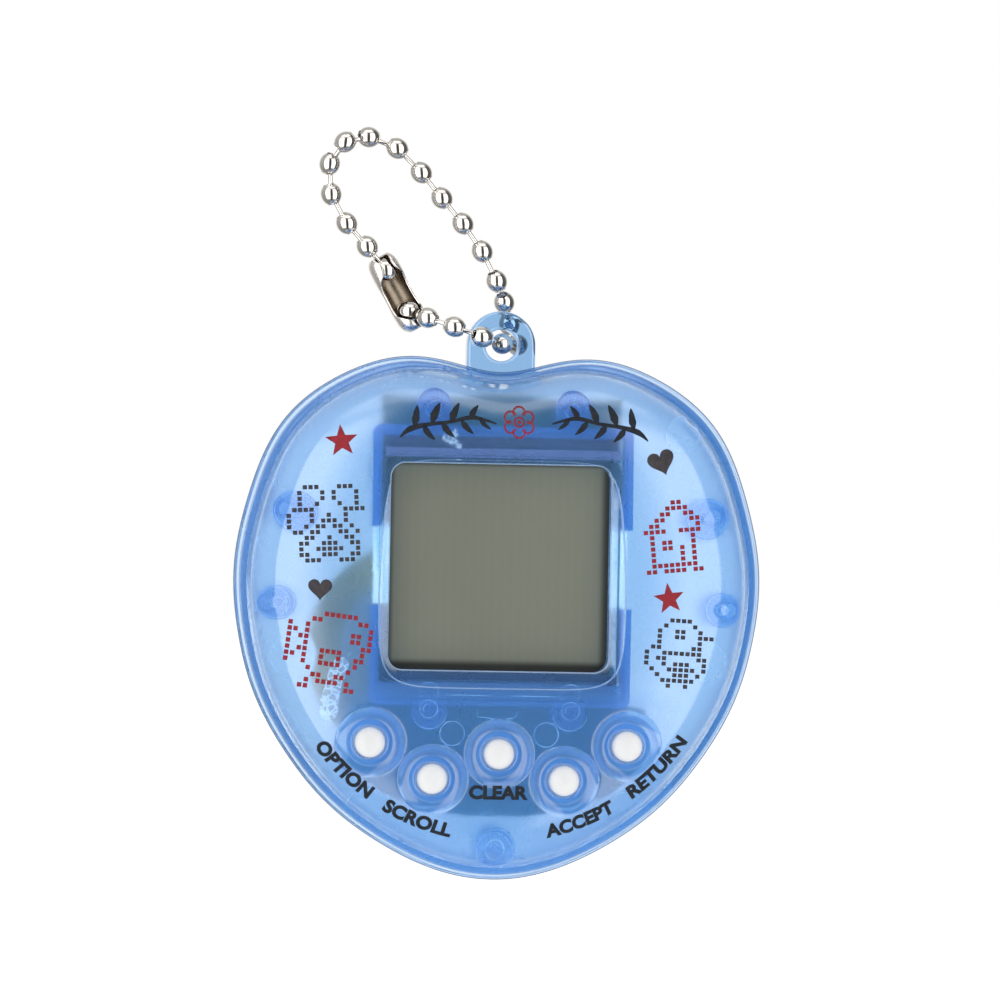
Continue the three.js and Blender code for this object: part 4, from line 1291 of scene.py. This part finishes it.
# ------------------------------------------------------------------ printed art on the front
ICONS = {
    "paw": [
        "...###...###..", "..#...#.#...#.", "..#...#.#...#.", "..#..#...#..#.",
        ".####.....####", "#...#..#..#...", "#...#.###.#...", "#..#.##.##.#..",
        ".##.##...##.#.", "...##..#..##..", "..##..###..##.", "..#..#####..#.",
        "..##..###..##.", "...###...###.."],
    "fish": [
        "......######...", "....##......##.", "#..#..........#", "##.#.......##.#",
        "#.##.......##.#", "#..#.........##", "#.##..####...#.", "##.#..#..#..##.",
        "#..#..####..#..", "....#......#...", ".....##..##....", "....#.####.#...",
        "...##......##.."],
    "house": [
        ".....##...", "....####..", "...##..##.", "..##....##", ".##......#", "####..####",
        ".#......#.", ".#.##...#.", ".#.##.#.#.", ".#....#.#.", ".#....#.#.", ".########.",
        "##.####.##"],
    "bird": [
        "....####....", "...#....#...", "..#..##..#..", "..#..##..###", "..#......#..",
        ".##.....##..", "#..#######..", "#.##.....##.", "#..#.###..#.", ".#..#####.#.",
        "..#..###.#..", "...######...", "....#..#...."],
}
DOT_FILL = 0.74     # side of a printed dot against the pitch
# Leaves of a sprig: root x, root z, reach in x, reach in z, width
LEAVES = [(-3.9, -0.8, 0.3, 2.3, 0.8), (-2.1, -0.4, 0.9, 2.2, 0.86), (-0.1, -0.2, 0.9, 2.0, 0.8),
          (1.9, 0.2, 0.9, 1.4, 0.66), (-3.0, -0.6, 1.3, -1.5, 0.66), (-1.0, -0.3, 1.3, -1.5, 0.72),
          (1.0, 0.0, 1.3, -1.4, 0.66), (2.9, 0.2, 1.2, -1.1, 0.5)]
STEM = [(-5.4, -1.9), (-4.3, -1.0), (-2.4, -0.5), (-0.2, -0.2), (2.2, 0.3), (4.7, -0.3)]
BLOOM_X, BLOOM_Z, BLOOM_PETALS = 1.45, 19.9, 6
# Words bent round the case's centre: text, radius (None is straight), angle from down, width
LABELS = [("OPTION", 23.2, -44.0, 7.6), ("SCROLL", 23.3, -21.0, 7.5), ("CLEAR", None, 0, 6.2),
          ("ACCEPT", 23.3, 22.0, 7.6), ("RETURN", 23.2, 46.5, 8.2)]
LABEL_HEIGHT, STRAIGHT_LABEL_Z = 1.5, -18.7


def lay_print(bm, name, mat, cut, even_out=False):
    """Splits a flat drawing finely, lays it on the front face and makes it a coat of ink."""
    bmesh.ops.remove_doubles(bm, verts=bm.verts, dist=1e-5)
    bmesh.ops.triangulate(bm, faces=bm.faces)
    for _ in range(5):
        long_edges = [e for e in bm.edges if e.calc_length() > cut]
        if not long_edges:
            break
        bmesh.ops.subdivide_edges(bm, edges=long_edges, cuts=1)
        bmesh.ops.triangulate(bm, faces=bm.faces)
    x, z = np.array([v.co.x for v in bm.verts]), np.array([v.co.z for v in bm.verts])
    y = FRONT_BASE - FRONT_OUT(level_at(x, z)) - 0.02
    for vert, vert_y in zip(bm.verts, y):
        vert.co = Vector((vert.co.x * MM, vert_y * MM, vert.co.z * MM))
    if even_out:
        bmesh.ops.recalc_face_normals(bm, faces=bm.faces)
    else:
        bm.normal_update()
    bmesh.ops.reverse_faces(bm, faces=[f for f in bm.faces if f.normal.y > 0])
    ob = link(mesh_from(bm, name), name, [mat])
    ob.data.shade_smooth()
    ink = ob.modifiers.new("ink", "SOLIDIFY")
    ink.thickness = 0.018 * MM
    ink.offset = 1
    ink.use_even_offset = False
    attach(ob, "case")


def print_piece(name, polygons, ink):
    bm = bmesh.new()
    for polygon in polygons:
        verts = [bm.verts.new((x, 0, z)) for x, z in polygon]
        if len(verts) > 4:
            count = len(polygon)
            centre = bm.verts.new((sum(p[0] for p in polygon) / count, 0,
                                   sum(p[1] for p in polygon) / count))
            for a, b in around(verts):
                bm.faces.new((a, b, centre))
        else:
            bm.faces.new(verts)
    lay_print(bm, name, PLAIN[ink], 0.32, even_out=True)


def turned(x, z, cx, cz, turn):
    return (cx + x * math.cos(turn) - z * math.sin(turn),
            cz + x * math.sin(turn) + z * math.cos(turn))


def star(cx, cz, radius, turn):
    points = []
    for k in range(10):
        reach = radius if k % 2 == 0 else radius * 0.42
        angle = turn + math.pi * k / 5
        points.append((cx + reach * math.sin(angle), cz + reach * math.cos(angle)))
    return points


def heart(cx, cz, width, turn):
    points = []
    for k in range(40):
        t = 2 * math.pi * k / 40
        x = 16 * math.sin(t) ** 3
        z = 13 * math.cos(t) - 5 * math.cos(2 * t) - 2 * math.cos(3 * t) - math.cos(4 * t)
        points.append(turned(x * width / 32, (z + 2.5) * width / 32, cx, cz, turn))
    return points


def icon(name, cx, cz, width, height, turn):
    """Drawing of square dots."""
    rows = ICONS[name]
    columns = max(len(row) for row in rows)
    pitch_x, pitch_z = width / columns, height / len(rows)
    half_x, half_z = pitch_x * DOT_FILL / 2, pitch_z * DOT_FILL / 2
    dots = []
    for j, row in enumerate(rows):
        for i, mark in enumerate(row):
            if mark == "#":
                x, z = (i + 0.5 - columns / 2) * pitch_x, (len(rows) / 2 - j - 0.5) * pitch_z
                corners = [(x - half_x, z - half_z), (x + half_x, z - half_z),
                           (x + half_x, z + half_z), (x - half_x, z + half_z)]
                dots.append([turned(px, pz, cx, cz, turn) for px, pz in corners])
    return dots


def stroke(points, widths, count):
    """Brush stroke: a ribbon along a smooth curve with changing width."""
    points = np.array(points, float)
    path = []
    for t in np.linspace(0, len(points) - 1, count):
        i = min(int(t), len(points) - 2)
        f = t - i
        p0, p1 = points[max(i - 1, 0)], points[i]
        p2, p3 = points[i + 1], points[min(i + 2, len(points) - 1)]
        path.append(0.5 * (2 * p1 + (p2 - p0) * f + (2 * p0 - 5 * p1 + 4 * p2 - p3) * f * f
                           + (3 * p1 - p0 - 3 * p2 + p3) * f ** 3))
    path = np.array(path)
    along = np.gradient(path, axis=0)
    along /= np.linalg.norm(along, axis=1)[:, None] + 1e-9
    across = np.stack([-along[:, 1], along[:, 0]], 1)
    half = np.interp(np.linspace(0, 1, count), np.linspace(0, 1, len(widths)), widths)[:, None] / 2
    left, right = path + across * half, path - across * half
    return [[tuple(left[i]), tuple(left[i + 1]), tuple(right[i + 1]), tuple(right[i])]
            for i in range(count - 1)]


def sprig(cx, cz, sign):
    """A leafy flourish about 10 mm long; sign -1 mirrors it."""
    stem = [(cx + x * sign, cz + z) for x, z in STEM]
    strokes = stroke(stem, [0.10, 0.62, 0.42, 0.34, 0.46, 0.12], 40)
    for root_x, root_z, dx, dz, width in LEAVES:
        x, z = cx + root_x * sign, cz + root_z
        leaf = [(x, z), (x + (dx * 0.35 + 0.1) * sign, z + dz * 0.55), (x + dx * sign, z + dz)]
        strokes += stroke(leaf, [0.14, width, width * 0.7, 0.05], 16)
    return strokes


def bloom():
    """Petals drawn as open arcs round a ring and a dot."""
    strokes = []
    for k in range(BLOOM_PETALS):
        turn = 2 * math.pi * k / BLOOM_PETALS
        cx, cz = BLOOM_X + 1.02 * math.sin(turn), BLOOM_Z + 1.02 * math.cos(turn)
        petal = [(cx + 0.62 * math.cos(t + math.pi / 2 - turn),
                  cz + 0.62 * math.sin(t + math.pi / 2 - turn))
                 for t in np.linspace(-2.2, 2.2, 14)]
        strokes += stroke(petal, [0.14, 0.2, 0.14], 22)
    ring = [(BLOOM_X + 0.5 * math.cos(t), BLOOM_Z + 0.5 * math.sin(t))
            for t in np.linspace(0, 2 * math.pi, 15)]
    return strokes + stroke(ring, [0.18, 0.18], 28) + [circle(BLOOM_X, BLOOM_Z, 0.2, 12)]


def print_label(name, text, radius, angle, width):
    curve = bpy.data.curves.new("label_text", "FONT")
    curve.body = text
    curve.align_x = curve.align_y = "CENTER"
    curve.offset = 0.05
    curve.resolution_u = 4
    ob = bpy.data.objects.new("label_text", curve)
    bpy.context.scene.collection.objects.link(ob)
    depsgraph = bpy.context.evaluated_depsgraph_get()
    mesh = bpy.data.meshes.new_from_object(ob.evaluated_get(depsgraph))
    bpy.data.objects.remove(ob)
    bm = bmesh.new()
    bm.from_mesh(mesh)
    bmesh.ops.remove_doubles(bm, verts=bm.verts, dist=1e-5)
    xs, ys = [v.co.x for v in bm.verts], [v.co.y for v in bm.verts]
    scale_x, scale_y = width / (max(xs) - min(xs)), LABEL_HEIGHT / (max(ys) - min(ys))
    mid_x, mid_y = (max(xs) + min(xs)) / 2, (max(ys) + min(ys)) / 2
    for vert in bm.verts:
        across, up = (vert.co.x - mid_x) * scale_x, (vert.co.y - mid_y) * scale_y
        if radius:
            theta, reach = math.radians(angle) + across / radius, radius - up
            vert.co = Vector((reach * math.sin(theta), 0, -reach * math.cos(theta)))
        else:
            vert.co = Vector((across, 0, up))
            vert.co.z += STRAIGHT_LABEL_Z
    lay_print(bm, name, PLAIN["print_dark"], 0.3)


print_piece("print_red_art", [star(-17.0, 17.6, 1.75, -0.1), star(17.45, 1.8, 1.7, -0.15)]
            + icon("fish", -18.1, -4.3, 9.0, 8.3, -0.12)
            + icon("house", 17.7, 8.3, 6.2, 7.7, 0.1), "print_red")
print_piece("print_dark_pixels", icon("paw", -18.5, 9.0, 8.2, 8.2, 0.05)
            + icon("bird", 18.6, -3.9, 7.4, 7.4, -0.05), "print_grey")
print_piece("print_hearts", [heart(-19.0, 2.05, 2.5, 0.0), heart(16.5, 15.9, 2.9, 0.35)],
            "print_grey")
print_piece("print_flourish", sprig(-5.6, 20.0, 1) + sprig(9.6, 20.1, -1), "print_dark")
print_piece("print_bloom", bloom(), "print_red")
for i, label in enumerate(LABELS, 1):
    print_label(f"label_{i}", *label)


# ------------------------------------------------------------------ details behind the front face
def arc(cx, cz, radius, start=0, end=360, count=30):
    """Points of an arc, angles in degrees, and whether it is a full circle."""
    full = end - start >= 360
    angles = [math.radians(t) for t in np.linspace(start, end, count, endpoint=not full)]
    return [(cx + radius * math.cos(t), cz + radius * math.sin(t)) for t in angles], full


def thread(name, lines, line_radius):
    """Fine raised lines that follow the inside of the front face, drawn pale and faintly glowing as
    painted highlights; open ones taper at the ends.
    """
    bm = bmesh.new()
    for points, closed in lines:
        path = [Vector((x, behind_face(x, z, 0.09), z)) for x, z in points]
        count = len(path)
        rings = []
        for k in range(count):
            if closed:
                before, after, radius = path[k - 1], path[(k + 1) % count], line_radius
            else:
                before, after = path[max(k - 1, 0)], path[min(k + 1, count - 1)]
                place = min(max(k / (count - 1), 0.08), 0.92)
                radius = line_radius * (0.35 + 0.65 * math.sin(math.pi * place))
            along = (after - before).normalized()
            side = along.cross(Vector((0, 1, 0))).normalized()
            other = along.cross(side)
            angles = [math.pi * q / 3 for q in range(6)]
            rings.append([bm.verts.new((path[k] + (side * math.cos(angle)
                                                   + other * math.sin(angle)) * radius) * MM)
                          for angle in angles])
        for k in range(count if closed else count - 1):
            ring, following = rings[k], rings[(k + 1) % count]
            for q in range(6):
                r = (q + 1) % 6
                bm.faces.new((ring[q], ring[r], following[r], following[q]))
        if not closed:
            bm.faces.new(rings[0])
            bm.faces.new(rings[-1][::-1])
    bmesh.ops.recalc_face_normals(bm, faces=bm.faces)
    ob = link(mesh_from(bm, name), name, [PAINTED_EDGE_GLINT])
    ob.data.shade_smooth()
    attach(ob, "case")


def build_moulded_lines():
    # raised lines of the moulding, drawn in the pale glowing material of painted highlights
    lines = []
    for sign in (-1, 1):
        lines += [
            arc(sign * 7.35, -10.35, 1.82, 190, 350), arc(sign * 7.4, -10.1, 0.93),
            arc(sign * 7.4, -10.1, 0.55, 110, 215), arc(sign * 7.4, -8.35, 0.95, -30, 215),
            arc(sign * 4.9, -12.6, 1.27),
            arc(sign * 13.3, -20.0, 1.75, 20 if sign > 0 else 60, 190),
            arc(sign * 21.3, -4.7, 2.0, 40, 260), arc(sign * 7.3, 21.1, 1.8, -20, 210),
            arc(sign * 7.3, 21.1, 0.95, 150, 330)]
    lines += [arc(18.5, 18.6, 1.7), arc(-1.0, -21.3, 0.72, -60, 250, 16), arc(0, -24.3, 0.95),
              arc(0, -24.3, 0.52, 40, 170), arc(-23.0, 0.7, 0.6), arc(23.0, 0.7, 0.6)]
    # two straight lines and a shallow tray shape below the window
    for start, pitch in ((-5.7, 0.24), (0.95, 0.27)):
        lines.append(([(start + pitch * k, -8.62) for k in range(21)], False))
    lines.append(([(-2.3, -10.0), (-2.3, -10.75), (-2.2, -10.85), (-1.0, -10.95), (0.6, -10.98),
                   (1.5, -10.9), (1.75, -10.6), (1.75, -10.0)], False))
    thread("moulded_lines", lines, 0.05)
    rims = [arc(sign * x, z, radius) for sign in (-1, 1)
            for x, z, radius in ((23.0, 0.7, 1.62), (21.3, 10.1, 1.95))]
    thread("moulded_rims", rims + [arc(0, -24.3, 1.88)], 0.035)


def glue_blob(name, spine, half_width, seed, depth=None):
    """Crumpled patch along a spine, behind the front face or at the y given as depth."""
    rng = np.random.default_rng(seed)
    rows, columns = 40, 9
    x, z, side_x, side_z = follow_spine(spine, rows)
    taper = np.sqrt(np.clip(1 - (2 * np.linspace(0, 1, rows) - 1) ** 8, 0.02, 1))
    half = half_width * taper * (1 + 0.12 * rng.standard_normal(rows).cumsum() / 4)
    verts, faces = [], []
    for k in range(rows):
        for q in range(columns):
            across = 2 * q / (columns - 1) - 1
            px = x[k] + side_x[k] * half[k] * across
            pz = z[k] + side_z[k] * half[k] * across
            base = behind_face(px, pz, 0.1) if depth is None else depth
            y = base + 0.03 + 0.10 * rng.random() + 0.1 * across * across
            verts.append((px * MM, y * MM, pz * MM))
    for k in range(rows - 1):
        for q in range(columns - 1):
            a = k * columns + q
            faces.append((a, a + 1, a + columns + 1, a + columns))
    mesh = bpy.data.meshes.new(name)
    mesh.from_pydata(verts, [], faces)
    mesh.shade_smooth()
    ob = link(mesh, name, [GLUE])
    solid = ob.modifiers.new("thickness", "SOLIDIFY")
    solid.thickness = 0.08 * MM
    solid.offset = 1
    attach(ob, "case")


build_moulded_lines()
glue_blob("glue_strip", GLUE_SPINE, 0.9, seed=3)
glue_blob("glue_spot_1", [(-6.4, 18.3), (-5.6, 17.9), (-4.4, 17.1)], 0.45, seed=5, depth=-12.3)
glue_blob("glue_spot_2", [(-5.3, 18.9), (-4.9, 18.2)], 0.4, seed=7, depth=-12.35)

# ------------------------------------------------------------------ floor and world
# Metres
FLOOR_HALF, FLOOR_Z = 3.0, -0.046


def build_floor():
    """White floor that sharp reflections do not see."""
    mesh = bpy.data.meshes.new("floor")
    corners = [(-1, -1), (1, -1), (1, 1), (-1, 1)]
    mesh.from_pydata([(x * FLOOR_HALF, y * FLOOR_HALF, FLOOR_Z) for x, y in corners], [],
                     [(0, 1, 2, 3)])
    mat, graph = new_material("floor_white")
    white = graph.ramp(graph.noise(scale=60, detail=3),
                       (0.3, (0.86, 0.86, 0.86)), (0.7, (0.88, 0.88, 0.88)))
    diffuse = graph.out("ShaderNodeBsdfDiffuse", {"Color": white})
    glow = graph.out("ShaderNodeEmission", {"Strength": 0.55})
    lit = graph.out("ShaderNodeAddShader", {0: diffuse, 1: glow})
    rays = graph.node("ShaderNodeLightPath").outputs
    reflected = graph.math("SUBTRACT", rays["Is Glossy Ray"], rays["Is Transmission Ray"],
                           clamp=True)
    graph.finish(graph.mix_shader(reflected, lit, graph.transparent()))
    link(mesh, "floor", [mat])


def build_world():
    """Studio with one look per kind of ray: reflected, through the plastic, diffuse, camera."""
    world = bpy.data.worlds.new("studio")
    bpy.context.scene.world = world
    graph = Graph(world, "ShaderNodeOutputWorld")
    direction = graph.node("ShaderNodeSeparateXYZ", {0: graph.coords("Generated")}).outputs
    degrees = 57.2958

    def fade(source, over, to=(0.0, 1.0)):
        return graph.remap(source, over=over, to=to, interpolation_type="SMOOTHSTEP")

    def times(first, second):
        return graph.math("MULTIPLY", first, second)

    # 0, 0 is towards the camera's side, azimuth grows to the right
    backward = times(direction["Y"], -1.0)
    azimuth = times(graph.math("ARCTAN2", direction["X"], backward), degrees)
    elevation = times(graph.math("ARCSINE", direction["Z"]), degrees)

    def panel(az, el, soft):
        """Soft rectangle over ranges in degrees; soft is the fade at its first and second
        azimuth and at both elevations."""
        edges = [fade(source, over=(at - width / 2, at + width / 2), to=to)
                 for source, at, width, to in (
                     (azimuth, az[0], soft[0], (0.0, 1.0)), (azimuth, az[1], soft[1], (1.0, 0.0)),
                     (elevation, el[0], soft[2], (0.0, 1.0)),
                     (elevation, el[1], soft[2], (1.0, 0.0)))]
        return times(times(edges[0], edges[1]), times(edges[2], edges[3]))

    left = times(panel(az=(-66, -16), el=(-46, 42), soft=(5, 26, 22)), 2.15)
    right = times(panel(az=(18, 62), el=(-42, 38), soft=(14, 8, 22)), 1.9)
    overhead = times(panel(az=(-75, 75), el=(52, 80), soft=(30, 30, 14)), 1.1)
    wall = fade(direction["Y"], over=(0.55, 0.95), to=(0.0, 0.6))
    # dim surroundings, darker straight ahead and far to the right
    base = fade(elevation, over=(-70, 40), to=(0.30, 0.52))
    ahead = times(panel(az=(-13, 16), el=(-60, 44), soft=(8, 8, 20)), 0.86)
    base = times(base, graph.math("SUBTRACT", 1.0, ahead))
    far_right = times(panel(az=(62, 118), el=(-50, 60), soft=(20, 20, 20)), 0.75)
    base = times(base, graph.math("SUBTRACT", 1.0, far_right))
    panels = graph.math("ADD", left, right)
    rest = graph.math("ADD", graph.math("ADD", overhead, wall), base)

    def background(colour, strength):
        return graph.out("ShaderNodeBackground", {"Color": colour, "Strength": strength})

    reflected = background((1.0, 0.975, 0.94, 1), graph.math("ADD", panels, rest))
    # through the plastic: white behind, a dimmer room to the sides and front
    room = graph.ramp(fade(direction["Y"], over=(-0.75, 0.15)),
                      (0.0, (0.26, 0.36, 0.52)), (1.0, (1, 1, 1)))
    through = background(room, 1.12)
    diffuse = background((0.97, 0.985, 1.0, 1), 0.62)
    white = background((1, 1, 1, 1), 1.0)
    rays = graph.node("ShaderNodeLightPath").outputs
    look = graph.mix_shader(rays["Is Glossy Ray"], diffuse, reflected)
    look = graph.mix_shader(rays["Is Transmission Ray"], look, through)
    graph.finish(graph.mix_shader(rays["Is Camera Ray"], look, white))


build_floor()
build_world()

# ------------------------------------------------------------------ lights and camera
# name, place, target, width and height in metres, power in watts
SOFTBOXES = [
    ("softbox_left", (-0.34, -0.30, 0.10), (0, 0, 0.01), (0.22, 0.30), 0.30),
    ("softbox_right", (0.34, -0.30, 0.08), (0, 0, 0.01), (0.20, 0.30), 0.22),
    ("softbox_top", (0.0, -0.28, 0.42), (0, 0, 0.02), (0.36, 0.16), 0.30),
]
CAMERA_TARGET = Vector((0.14 * MM, -7 * MM, 11.77 * MM))
CAMERA_AZIMUTH, CAMERA_ROLL = math.radians(-4.5), math.radians(1.1)
LENS, SENSOR = 300.0, 36.0
VIEW_WIDTH = 0.105      # metres across at the target


def build_softbox(name, place, target, size, power):
    light = bpy.data.lights.new(name, "AREA")
    light.shape = "RECTANGLE"
    light.size, light.size_y = size
    light.energy = power
    light.color = (1, 1, 1)
    ob = bpy.data.objects.new(name, light)
    ob.location = place
    ob.rotation_mode = "QUATERNION"
    ob.rotation_quaternion = (Vector(target) - Vector(place)).to_track_quat("-Z", "Y")
    ob.visible_camera = False
    ob.visible_glossy = False
    ob.visible_transmission = False
    bpy.context.scene.collection.objects.link(ob)


def build_camera():
    data = bpy.data.cameras.new("camera")
    data.lens = LENS
    data.sensor_width = SENSOR
    data.clip_start = 0.01
    data.clip_end = 20
    camera = link(data, "camera")
    back = Vector((math.sin(CAMERA_AZIMUTH), -math.cos(CAMERA_AZIMUTH), 0.0))
    camera.location = CAMERA_TARGET + back * (VIEW_WIDTH * LENS / SENSOR)
    camera.rotation_mode = "QUATERNION"
    roll = Matrix.Rotation(CAMERA_ROLL, 3, "Z").to_quaternion()
    camera.rotation_quaternion = (-back).to_track_quat("-Z", "Y") @ roll
    bpy.context.scene.camera = camera


for softbox in SOFTBOXES:
    build_softbox(*softbox)
build_camera()
bpy.context.scene.view_settings.view_transform = "Standard"
bpy.context.scene.view_settings.look = "None"
